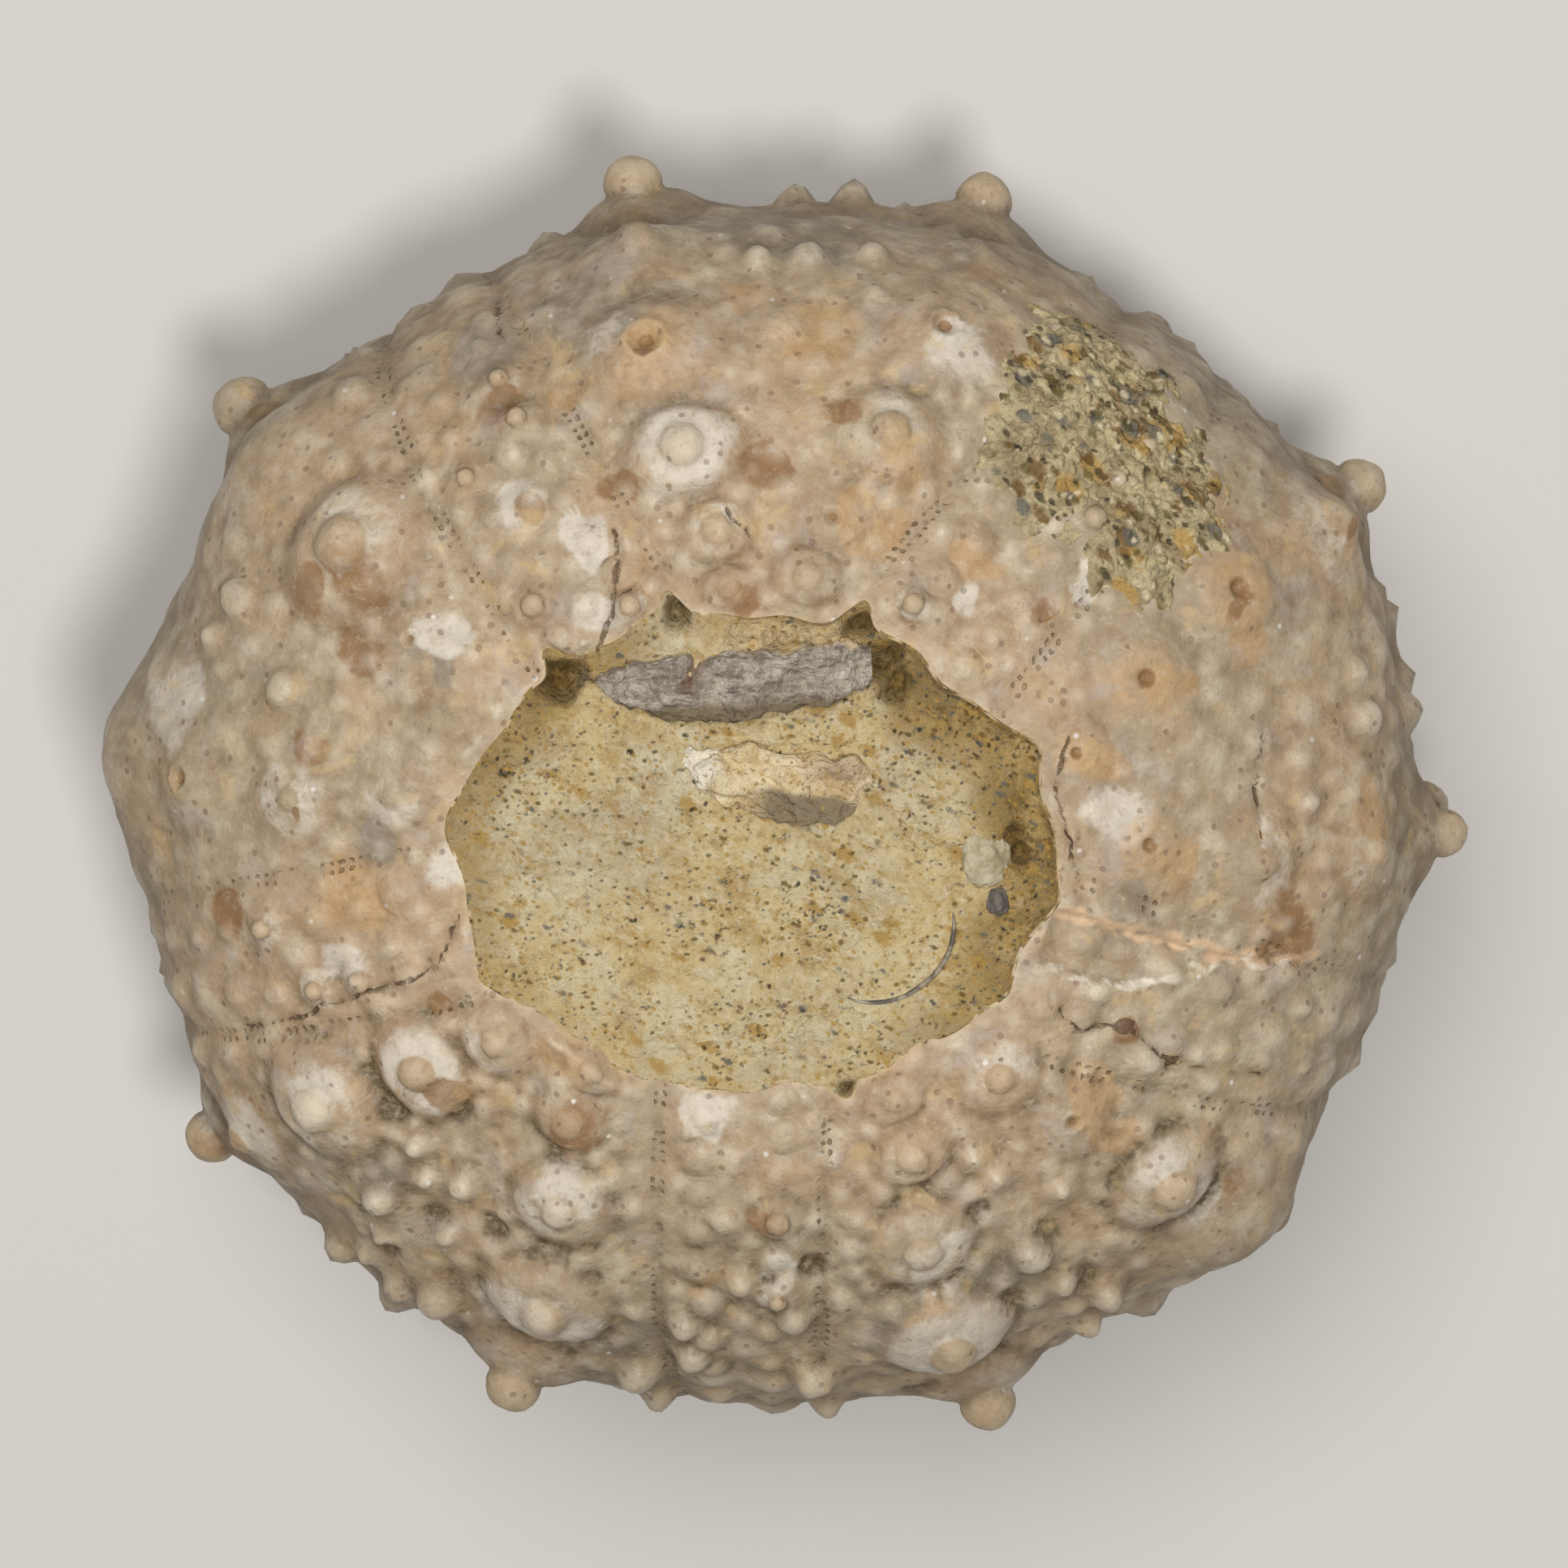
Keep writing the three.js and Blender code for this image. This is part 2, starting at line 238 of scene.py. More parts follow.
def nearest_tubercle(points):
    """For each point, the tubercle it belongs to and how far out in its areole it lies, 1 at the edge."""
    owner = np.full(len(points), -1)
    share = np.full(len(points), FAR)
    for i, t in enumerate(primaries):
        off = points - t["at"]
        index = np.nonzero(np.einsum("ij,ij->i", off, off) < (t["wide"] * 1.6) ** 2)[0]
        e, n = off[index] @ t["east"] / t["wide"], off[index] @ t["north"] / t["long"]
        reach = np.hypot(e, n)
        better = reach < share[index]
        share[index[better]] = reach[better]
        owner[index[better]] = i
    return owner, share


# The mesh is made finer where there is more to show: on the upper side, at the balls and at the rim.
test_form = new_ball(6)
not_rings = np.array([t["kind"] != "ring" for t in primaries])
for level in (7, 8, 9):
    latitude, azimuth = directions(test_form)
    points = body_point(latitude, azimuth)
    owner, share = nearest_tubercle(points)
    rim = rim_distance(points)
    if level == 7:
        wanted = (rim > -1.2) & ((latitude > -42) | (share < 1.1))
    elif level == 8:
        wanted = (rim > -0.7) & ((latitude > 9.5) | ((share < 0.8) & (latitude > -38)))
    else:
        wanted = ((share < 0.47) & not_rings[owner] & (latitude > -8)) | (abs(rim - 0.02) < 0.2)
    flags = wanted.tolist()
    cut = [e for e in test_form.edges if flags[e.verts[0].index] and flags[e.verts[1].index]]
    bmesh.ops.subdivide_edges(test_form, edges=cut, cuts=1, use_grid_fill=True)
bmesh.ops.triangulate(test_form, faces=test_form.faces[:])
bmesh.ops.recalc_face_normals(test_form, faces=test_form.faces[:])

latitude, azimuth = directions(test_form)
ends = np.array([[v.index for v in e.verts] for e in test_form.edges])
base = body_point(latitude, azimuth)
_, _, outward = body_frame(latitude, azimuth)
owner, share = nearest_tubercle(base)
rim = rim_distance(base)
count = len(base)


def lumps(points, scale, seed):
    """Smooth noise, about -1 to 1, at points in millimetres. scale is lumps per millimetre."""
    shift = Vector((seed * 7.3, seed * 3.1, seed * 5.7))
    return np.array([noise.noise(Vector(p) * scale + shift) for p in points.tolist()])


# The shell is a little uneven, and its plates are a little proud of their sutures.
relief = 0.16 * lumps(base, 0.22, 1) + 0.14 * lumps(base, 0.62, 2) + 0.06 * lumps(base, 1.5, 3)
relief += 0.03 * lumps(base, 3.4, 4)

# Small tubercles: two rows down each narrow zone, rings round the primaries, some listed one by one, and
# granules filling what is left. Each is a dome on a low foot: a place, a radius, and its height for
# that radius.
knobs = []
for middle in AMBULACRA:
    for side in (-1, 1):
        tip = 16.5
        while tip > -68:
            radius = np.interp(tip, [-60, -30, 0, 16], [0.18, 0.3, 0.48, 0.42]) * rng.uniform(0.75, 1.2)
            around = np.hypot(*body_point(tip, middle)[:2])
            off = side * np.interp(tip, [-60, 0, 16], [0.4, 0.62, 0.75])
            knobs.append((body_point(tip, middle + np.degrees(off / around)), radius, 0.55))
            tip -= (4.6 if tip > -30 else 3.0) + rng.uniform(-0.6, 0.6)
for t in primaries:
    if t["kind"] == "ring" or t["ball"] < 0.3:
        continue
    total = int(np.pi * (t["wide"] + t["long"]) / 0.62)
    for k in range(total):
        turn = 2 * np.pi * (k + rng.uniform(-0.25, 0.25)) / total
        across_it = t["east"] * np.cos(turn) * (t["wide"] + 0.2)
        place = t["at"] + across_it + t["north"] * np.sin(turn) * (t["long"] + 0.2)
        if rng.random() < 0.7:
            knobs.append((place, rng.uniform(0.16, 0.3), 0.8))
# The listed ones: latitude, azimuth, radius, height for its radius.
BY_HAND = [
    (9, 88, 0.4, 1), (15, 92, 0.42, 0.9), (13, 81, 0.42, 0.9), (-6, 89, 0.44, 1.3), (-6, 83.5, 0.42, 1.3),
    (29, 56, 0.3, 1.1), (33, 272, 0.4, 1.1), (47, 261, 0.4, 1), (27, 263, 0.34, 1), (15, 262, 0.38, 1),
    (12, 271, 0.36, 1), (20, 270, 0.3, 1), (22, 262, 0.34, 1.1), (33, 196, 0.4, 1), (38, 195, 0.36, 1),
    (43, 187, 0.34, 1), (42, 181, 0.34, 1), (38, 304, 0.3, 1), (35, 305, 0.3, 1), (33, 309, 0.3, 1),
    (30, 221, 0.34, 1), (26, 217, 0.32, 1), (28, 225, 0.32, 1), (24, 222, 0.34, 1), (21, 219, 0.34, 1.1),
    (19, 226, 0.34, 1), (33, 132, 0.34, 0.9), (40, 127, 0.32, 0.9), (25, 128, 0.36, 1),
    (12, 124, 0.36, 1.2), (8, 128, 0.36, 1.2), (6, 133, 0.34, 1.2), (5, 138, 0.32, 1.2),
    (1, 60, 0.34, 1.2), (2, 54, 0.34, 1.2), (3, 48, 0.34, 1.2), (2, 18, 0.32, 1.3), (3, 12, 0.34, 1.3),
    (4, 350, 0.3, 1.2), (3, 344, 0.3, 1.2), (23, 223, 0.46, 1), (31, 222, 0.4, 0.9), (30, 229, 0.42, 0.9),
    (36.5, 229, 0.38, 0.9), (35, 233, 0.36, 0.9), (6, 232, 0.48, 1), (4, 225, 0.5, 1), (13, 231, 0.42, 1),
    (24.5, 231, 0.4, 0.9), (2, 204, 0.55, 0.9), (16, 254, 0.5, 1), (21, 261, 0.46, 1),
    (4, 264, 0.56, 0.55), (25, 260.5, 0.42, 0.9), (19.5, 268, 0.46, 1), (43.5, 283, 0.36, 0.8),
    (25, 280, 0.46, 1), (34, 306, 0.36, 0.8), (30, 302, 0.42, 1.1), (30, 310, 0.36, 0.9),
    (16, 305, 0.44, 1), (12, 301, 0.4, 1), (21, 300.5, 0.4, 0.9), (7, 306, 0.46, 1), (8, 297.5, 0.46, 1),
    (9, 310, 0.42, 1), (26.5, 273, 0.46, 0.9), (18, 274, 0.5, 0.9), (28, 269.5, 0.4, 0.9),
    (8, 268, 0.5, 0.55), (10, 258, 0.46, 0.9), (11, 274, 0.46, 0.9), (17, 214, 0.44, 0.9),
    (11, 208, 0.46, 0.9), (14, 320, 0.46, 0.8),
]
knobs += [(body_point(tip, turn), radius, height) for tip, turn, radius, height in BY_HAND]

cells = {}
placed = []


def has_room(place, radius):
    """True where a knob of this radius would clear those already placed, kept in cells of 1 mm."""
    x, y, z = (place // 1.0).astype(int)
    for cell in product((x - 1, x, x + 1), (y - 1, y, y + 1), (z - 1, z, z + 1)):
        for other, r in cells.get(cell, ()):
            if np.linalg.norm(place - other) < (radius + r) * 1.12:
                return False
    return True


def settle(place, radius, height):
    cells.setdefault(tuple((place // 1.0).astype(int)), []).append((place, radius))
    placed.append((place, radius, height))


# How far each vertex is across the nearest row of pores, and along it from the apex.
pore_row = np.interp(latitude, [-70, -30, 0, 25, 50], [0.75, 1.1, 1.45, 2.05, 2.15])
across = np.full(count, FAR)
for middle in AMBULACRA:
    off = np.radians((azimuth - middle + 180) % 360 - 180) * np.hypot(base[:, 0], base[:, 1])
    for side in (-1, 1):
        value = off * side - pore_row
        across = np.where(np.abs(value) < np.abs(across), value, across)
tips = np.linspace(-88, 88, 353)
arc = np.append(0, np.cumsum(np.linalg.norm(np.diff(body_point(tips, 60.0), axis=0), axis=1)))
along = np.interp(latitude, tips, arc)

tree = KDTree(count)
for i, p in enumerate(base.tolist()):
    tree.insert(p, i)
tree.balance()

for place, radius, height in knobs:
    _, index, _ = tree.find(place)
    if share[index] >= 1.0 and rim[index] >= 0.12 and has_room(base[index], radius * 0.85):
        settle(base[index], radius, height)
order = rng.permutation(count)
# on the lower side there are fewer fine granules between the larger ones
lower_side = step(azimuth, 196, 212) * fade(azimuth, 322, 336)
coarse = lower_side * step(latitude, -35, -10)
for size, tries in ((0.46, 700), (0.34, 1500), (0.24, 4500), (0.15, 8000)):
    for index in order[:tries]:
        if share[index] < 1.03 or rim[index] < 0.1 or latitude[index] < -72:
            continue
        if size < 0.3 and (latitude[index] < 0 or coarse[index] > 0.5 and rng.random() < 0.6):
            continue
        radius = size * rng.uniform(0.75, 1.2)
        if abs(across[index]) < 0.28 + radius * 0.5:
            continue
        if has_room(base[index], radius * 1.1):
            settle(base[index], radius, rng.uniform(0.45, 0.95) if radius > 0.2 else rng.uniform(0.3, 0.7))
    order = rng.permutation(count)

granules = np.zeros(count)
knob_top = np.zeros(count)
for place, radius, height in placed:
    for t in domes:
        height *= step(np.linalg.norm(place - t["at"]), 1.2, 3.2)
    near = tree.find_range(place, radius * 2.1)
    index = np.array([n[1] for n in near])
    d = np.array([n[2] for n in near]) / radius
    dome = np.sqrt(np.clip(1 - (d / 1.05) ** 2, 0, 1))
    foot = 0.4 * fade(d, 0.6, 2.1)
    granules[index] = np.maximum(granules[index], radius * height * (0.7 * dome + foot))
    knob_top[index] = np.maximum(knob_top[index], fade(d, 0.2, 1.5) * min(1, radius / 0.26))
# How fresh the surface is: worn more in some places than in others, and least on the lower side.
sheltered = lower_side * step(latitude, -30, 0) * fade(latitude, 36, 46)
fresh = np.maximum(step(lumps(base, 0.28, 5) + 0.5 * lumps(base, 0.8, 6), -0.45, 0.35), sheltered)


def smoothed(values, rounds):
    """Values at the vertices, each moved half way to the mean of its neighbours, some times over."""
    for _ in range(rounds):
        total = np.zeros_like(values)
        number = np.zeros(count)
        for a, b in ((0, 1), (1, 0)):
            np.add.at(total, ends[:, a], values[ends[:, b]])
            np.add.at(number, ends[:, a], 1)
        values = 0.5 * values + 0.5 * total / number.reshape(-1, *[1] * (values.ndim - 1))
    return values


beneath = step(-latitude, 3, 11)
coarse_mesh = fade(latitude, 5, 9)
softer, softest = smoothed(granules, 2), smoothed(granules, 4)
granules = softest * (1 - coarse_mesh) + softer * (1.1 + 0.6 * beneath) * coarse_mesh
relief += granules * (0.4 + 0.4 * fresh + 0.4 * step(granules, 0.2, 0.35) + 0.15 * sheltered)

# Each primary stands on a broad cone of its own, wider than its areole. The pore rows are sunken.
cones = np.zeros(count)
for t in primaries:
    if t["kind"] in ("ring", "disc"):
        continue
    d = np.sqrt(np.sum((base - t["at"]) ** 2, axis=1) + (0.25 * t["ball"]) ** 2) / t["ball"]
    cones = np.maximum(cones, (1.15 if t["lat"] < 15 else 1.05) * t["ball"] * np.exp(-d / 1.75))
for t in domes:
    d = np.linalg.norm(base - t["at"], axis=1)
    cones = np.maximum(cones, 1.15 * t["ball"] * np.exp(-((d / 2.4) ** 2)))
relief += cones
relief -= 0.1 * np.exp(-((across / 0.26) ** 2))
# Hollows worn between them: latitude, azimuth, radius.
PITS = [
    (19.6, 248.2, 0.7), (25, 229.2, 0.4), (21.8, 296.4, 0.55), (8, 220.4, 0.5), (28, 235, 0.35),
    (19.3, 221.9, 0.4), (19.9, 304.2, 0.4), (32.1, 276.2, 0.35), (22.9, 252.5, 0.45), (12, 240, 0.5),
    (36, 222, 0.35), (27, 305, 0.35), (14, 291, 0.5), (26, 316, 0.4), (12, 284, 0.5), (17, 227, 0.4),
    (9, 236, 0.4), (33, 300, 0.3), (31, 216, 0.35),
]
pits = np.zeros(count)
for tip, turn, radius in PITS:
    d = np.linalg.norm(base - body_point(tip, turn), axis=1) / radius
    pits = np.maximum(pits, fade(d, 0.3, 1.7))
pits *= share > 0.9
relief -= 0.22 * pits

# Cracks and sutures, as latitudes and azimuths along each.
CRACKS = [
    [(40.2, 114.3), (44.5, 115.6), (48.2, 120.3), (51.1, 127.7)],
    [(43.3, 21.7), (45.9, 13.9), (46.2, 6.2), (44.1, 354.7)],
    [(25.6, 12.6), (27, 7.3), (27.6, 2.6)],
    [(9, 118.2), (11.7, 118.6), (17.5, 119)],
    [(41.5, 95.5), (44.4, 90.7)],
    [(20, 200.3), (26.7, 200.8), (34.8, 200.6), (42.2, 200), (46, 192.4)],
    [(42.1, 332.2), (39.5, 330), (35.5, 333.6), (29.5, 331.4), (21.2, 333.5), (5.2, 333.4)],
]
PEACH_EDGE = [(45.8, 349.1), (39.2, 347.3), (34.3, 346.7), (28, 345.9), (20, 346.8)]
WHITE_EDGE = [(44.8, 338.4), (40.7, 338), (36, 339.8), (32.6, 342.2), (29.4, 345), (22.4, 345.8)]


def wobble(size, per_mm, seed):
    return size * np.stack([lumps(base, per_mm, seed + i) for i in range(3)], axis=1)


def line_distance(lines, wander):
    """How far each vertex is from the nearest of the lines, which wander a little."""
    places = base + wobble(wander, 2.3, 20)
    best = np.full(count, FAR)
    for line in lines:
        corners = [body_point(*corner) for corner in line]
        for a, b in zip(corners, corners[1:]):
            edge = b - a
            t = np.clip((places - a) @ edge / (edge @ edge), 0, 1)
            best = np.minimum(best, np.linalg.norm(places - a - t[:, None] * edge, axis=1))
    return best


crack = line_distance(CRACKS, 0.1)
for tip, turn, radius in [(35.5, 333.6, 0.13), (29.4, 331.3, 0.1)]:  # two holes on the cracks
    d = np.linalg.norm((base - body_point(tip, turn)) * [0.7, 1, 1], axis=1)
    crack = np.minimum(crack, np.maximum(0, d - radius))
    relief -= 0.35 * fade(d, radius, radius + 0.12)
peach = line_distance([PEACH_EDGE], 0.35)
white_edge = line_distance([WHITE_EDGE], 0.25)
relief -= 0.14 * np.exp(-((crack / 0.09) ** 2))
# The plates between the two edges have sunk.
low_side = np.interp(latitude, *zip(*WHITE_EDGE[::-1]))
high_side = np.interp(latitude, *zip(*PEACH_EDGE[::-1]))
sunken = step(azimuth, low_side - 0.4, low_side + 0.4) * fade(azimuth, high_side - 0.4, high_side + 0.4)
relief -= 0.2 * sunken * step(latitude, 21, 23) * fade(latitude, 45.5, 47)

# Where each vertex ends: out along the shell, or round a primary's ball, neck and boss. A profile is
# radii and heights, for a ball of radius 1, at parts of the way from the middle to the areole's edge.
PROFILE_AT = [0, 0.04, 0.08, 0.14, 0.22, 0.3, 0.37, 0.43, 0.48, 0.52, 0.56, 0.61]
PROFILES = {
    "whole": (
        [0, 0.1, 0.2, 0.4, 0.68, 0.87, 0.96, 0.97, 0.93, 0.92, 1.0, 1.16],
        [1.94, 1.95, 1.94, 1.88, 1.7, 1.44, 1.18, 1.0, 0.87, 0.8, 0.74, 0.66],
    ),
    "soft": (
        [0, 0.12, 0.25, 0.46, 0.68, 0.84, 0.93, 1.0, 1.07, 1.15, 1.27, 1.45],
        [1.66, 1.66, 1.64, 1.57, 1.42, 1.24, 1.11, 1.01, 0.94, 0.89, 0.86, 0.82],
    ),
    "ring": (
        [0, 0.14, 0.28, 0.46, 0.66, 0.84, 0.95, 1.04, 1.12, 1.2, 1.3, 1.44],
        [0.6, 0.62, 0.7, 0.74, 0.68, 0.57, 0.47, 0.39, 0.33, 0.28, 0.24, 0.2],
    ),
    "disc": (
        [0, 0.08, 0.14, 0.24, 0.38, 0.54, 0.68, 0.8, 0.9, 0.98, 1.08, 1.2],
        [0.2, 0.2, 0.22, 0.32, 0.38, 0.38, 0.36, 0.36, 0.34, 0.3, 0.25, 0.18],
    ),
    "worn": (
        [0, 0.08, 0.14, 0.24, 0.38, 0.52, 0.63, 0.72, 0.8, 0.86, 0.93, 1.04],
        [0.98, 0.98, 0.97, 0.94, 0.88, 0.8, 0.72, 0.65, 0.58, 0.52, 0.47, 0.4],
    ),
    "broken": (
        [0, 0.08, 0.14, 0.24, 0.38, 0.52, 0.63, 0.72, 0.8, 0.86, 0.93, 1.04],
        [0.22, 0.22, 0.23, 0.28, 0.42, 0.55, 0.62, 0.63, 0.58, 0.52, 0.46, 0.4],
    ),
}
points = base + outward * relief[:, None]
boss_end = PROFILE_AT[-1]
ball_top, areole, boss_top, yellowed, scar = np.zeros((5, count))
for i, t in enumerate(primaries):
    index = np.nonzero((owner == i) & (share < 1))[0]
    if not len(index):
        continue
    kind, ball, high_up = t["kind"], t["ball"], t["lat"] > 10
    off = base[index] - t["at"]
    e, n, h = off @ t["east"], off @ t["north"], off @ t["out"]
    flat = np.maximum(np.hypot(e, n), 1e-6)
    s = share[index]
    radii, heights = (np.array(values) * ball for values in PROFILES[kind])
    w = np.clip((s - boss_end) / (1 - boss_end), 0, 1)
    if t["lat"] > 14 and kind != "ring":
        slope = heights[-1] * (1 - w**1.7) ** 1.5
    else:
        slope = heights[-1] * (0.45 * (1 - w) ** 1.6 + 0.55 * (1 - w**1.8) ** 1.6)
    out_to = radii[-1] + (flat / np.maximum(s, 1e-6) - radii[-1]) * w
    r = np.where(s < boss_end, np.interp(s, PROFILE_AT, radii), out_to)
    up = np.where(s < boss_end, np.interp(s, PROFILE_AT, heights), slope)
    chew = 1 + 0.06 * lumps(base[index], 1.6 / ball, i + 30)
    turned = (e[:, None] * t["east"] + n[:, None] * t["north"]) / flat[:, None]
    mean = np.mean(relief[index[s > 0.8]]) if np.any(s > 0.8) else 0
    blend = step(s, 0.45, 1.0)
    rise = up * np.interp(t["lat"], [28, 46], [1, 0.72]) * chew + h * (r / flat) ** 2
    rise += mean * (1 - blend) + relief[index] * blend
    points[index] = t["at"] + turned * r[:, None] * chew[:, None] ** 0.5 + t["out"] * rise[:, None]
    ball_top[index] = (kind in ("whole", "soft")) * fade(s, 0.3, 0.5)
    yellowed[index] = (kind == "disc") * fade(s, 0.45, 0.8)
    scar[index] = (kind in ("broken", "disc")) * fade(s, 0.12, 0.26)
    bleached = (1.0 if high_up else 0.8) * (kind not in ("ring", "disc"))
    boss_top[index] = bleached * step(s, 0.25, 0.45) * fade(s, 0.75, 1.0)
    areole[index] = (0.6 if high_up else 1.0) * np.exp(-(((s - 0.86) / 0.16) ** 2)) * (kind != "ring")

# The mouth: a rim that meets the filling, a steep wall and a floor under the filling.
RIM_DROP, RIM_WIDTH, WALL_WIDTH, WALL_LEAN = 0.03, 0.12, 0.7, 0.22
meets = fade(rim, 0.05, 0.55) * (rim > -0.05)
points[:, 2] = points[:, 2] * (1 - meets) + (base[:, 2] - RIM_DROP) * meets
inside = rim < RIM_WIDTH
deep = np.clip((RIM_WIDTH - rim) / WALL_WIDTH, 0, 1)
radial = base[:, :2] - MOUTH
length = np.maximum(np.linalg.norm(radial, axis=1), 1e-6)
outer = length - rim
foot = length * (outer - 0.1) / np.maximum(outer - 0.58, 0.1)
wall = np.where(deep < 1, outer + RIM_WIDTH - WALL_LEAN * deep, foot)
points[inside, :2] = (MOUTH + radial / length[:, None] * wall[:, None])[inside]
points[inside, 2] += ((MOUTH_FLOOR - points[:, 2]) * step(deep, 0, 1) ** 1.2)[inside]

# The apex is worn flat where it stands.
points[:, 2] = np.where(points[:, 2] < 0.02, 0, points[:, 2])

# Nothing reaches past the box that the tubercles' balls set.
MM = 0.001
points = np.clip(points, np.array(cad_low) / MM - 0.2, np.array(cad_high) / MM + 0.2)
points[:, 2] = np.maximum(points[:, 2], 0)

# Where dirt gathers and where painted shade goes: the hollows, more so on the lower side and in the worn
# pits. And where the surface is rubbed.
fine = np.einsum("ij,ij->i", smoothed(points, 3) - points, outward)
broad = np.einsum("ij,ij->i", smoothed(points, 16) - points, outward)
cavity_dirt_and_shade = np.clip(smoothed(np.clip(broad * 4.5, 0, 1), 1) + np.clip(fine * 9, 0, 0.6), 0, 1)
cavity_dirt_and_shade = np.clip(cavity_dirt_and_shade * step(rim, 0.35, 0.8) * (0.75 + 0.9 * sheltered) + 0.75 * pits, 0, 1.3)
peak = np.clip(-broad * 3.2, 0, 1)

# Stains: latitude, azimuth, radius. Iron rust, yellow ochre, leached white and manganese grey.
STAINS = {
    "rust": [
        (29, 147, 0.95), (25, 152, 0.75), (32, 154, 0.85), (31, 167, 0.6), (31, 177, 0.35),
        (36, 217, 0.8), (22, 188, 0.7), (24, 349, 1.1), (24, 27, 0.5), (19, 10, 0.3), (36, 112, 0.5),
        (31, 80, 0.5), (24, 122, 0.7), (35, 124, 0.5), (42, 238, 0.9), (40, 207, 0.4), (38, 271, 0.5),
        (37, 89, 0.7), (35, 332, 0.5), (38, 41, 0.4), (52, 237, 0.3), (18, 322, 0.5), (51, 93, 0.6),
        (25.5, 104, 0.35), (4, 143, 1), (4, 212, 1), (3, 30, 0.6), (12, 27, 0.5), (2, 318, 1),
        (-20, 60, 1), (-28, 140, 1.2), (-15, 200, 1.1), (-30, 260, 1.2), (-18, 300, 1), (-35, 20, 1.2),
        (-25, 345, 0.9), (-8, 238, 0.9), (-12, 285, 0.8), (-22, 222, 0.9), (-6, 172, 0.8),
        (-38, 175, 1.2), (-10, 45, 0.9),
    ],
    "ochre": [
        (25, 104, 1.6), (35, 358, 0.9), (33, 22, 1), (41, 15, 0.7), (12, 24, 0.8), (41, 72, 1.1),
        (6, 74, 0.9), (20, 94, 0.6), (34, 323, 1), (30, 320, 0.7), (49, 225, 0.8), (35, 186, 1.2),
        (24, 23, 0.7), (16, 2, 0.9), (34, 70, 0.9), (8, 104, 1.1), (27, 290, 0.5), (30, 262, 0.5),
        (40, 54, 0.8), (26, 114, 0.6), (24, 85, 1.2), (53, 304, 0.8), (-12, 100, 1.4), (-30, 50, 1.5),
        (-25, 180, 1.6), (-12, 240, 1.3), (-35, 300, 1.7), (-20, 10, 1.5), (-45, 120, 1.6),
        (-50, 220, 1.6),
    ],
    "white": [
        (35, 101, 1.5), (23, 69, 1.2), (22, 242, 1.4), (26, 209, 1.1), (30, 292, 1.3), (36, 241, 1.1),
        (47, 123, 0.7), (38, 146, 0.8), (34, 125, 0.8), (34, 40, 0.5), (44, 50, 0.5), (46, 183, 0.7),
        (50, 259, 0.7), (32, 272, 0.8), (20, 319, 0.8), (40, 6, 0.9), (40, 119, 0.8), (15, 168, 1.2),
        (33, 196, 0.8), (-8, 30, 1.4), (-22, 120, 1.5), (-4, 290, 1.5), (-2, 252, 1.3), (-6, 188, 1.5),
        (-12, 75, 1.5), (-15, 270, 1.4), (-30, 210, 1.5), (-28, 330, 1.5),
    ],
    "grey": [
        (10, 90, 2.3), (18, 110, 1.7), (-4, 66, 1.5), (52, 220, 0.6), (-5, 97, 1.2), (11, 72, 0.8),
        (-2, 143, 1), (18, 121, 1.2), (39, 150, 0.6), (38, 179, 0.6), (23, 284, 1.2), (22, 254, 1.2),
        (-1, 316, 1), (7, 218, 1.2), (26, 298, 0.8), (39, 349, 1), (26, 221, 0.8), (-20, 85, 2.4),
        (-40, 160, 2.5), (-25, 230, 2.2), (-42, 290, 2.6), (-30, 0, 2.4), (-50, 50, 2.6),
    ],
}
part_white = step(lumps(base, 0.45, 44), -0.25, 0.3) * 0.6 + 0.4 * sheltered
stain = np.stack([0.8 * scar, 0.75 * yellowed, boss_top * part_white, np.zeros(count)], axis=1)
stained_from = base + wobble(0.45, 0.9, 40)
for channel, places in enumerate(STAINS.values()):
    for tip, turn, radius in places:
        d = np.linalg.norm(stained_from - body_point(tip, turn), axis=1) / radius
        stain[:, channel] = np.maximum(stain[:, channel], fade(d, 0.45, 1.25))


def write_mesh(name, form, places, material, **painted):
    """A mesh from a bmesh with its vertices put at places, in millimetres, and values painted on them."""
    mesh = bpy.data.meshes.new(name)
    form.to_mesh(mesh)
    form.free()
    mesh.vertices.foreach_set("co", (np.asarray(places) * MM).astype(np.float32).ravel())
    mesh.polygons.foreach_set("use_smooth", np.ones(len(mesh.polygons), dtype=bool))
    for layer, values in painted.items():
        values = np.asarray(values, dtype=np.float32)
        if values.ndim == 1:
            mesh.attributes.new(layer, "FLOAT", "POINT").data.foreach_set("value", values)
        elif values.shape[1] == 3:
            mesh.attributes.new(layer, "FLOAT_VECTOR", "POINT").data.foreach_set("vector", values.ravel())
        else:
            mesh.attributes.new(layer, "FLOAT_COLOR", "POINT").data.foreach_set("color", values.ravel())
    mesh.materials.append(material)
    mesh.update()
    piece = bpy.data.objects.new(name, mesh)
    scene.collection.objects.link(piece)
    return piece


def tint(red, green, blue):
    """A colour as it looks on a screen, 0 to 255, as the linear colour that shaders use."""
    part = np.array([red, green, blue]) / 255
    linear = np.where(part <= 0.04045, part / 12.92, ((part + 0.055) / 1.055) ** 2.4)
    return (*linear.tolist(), 1.0)


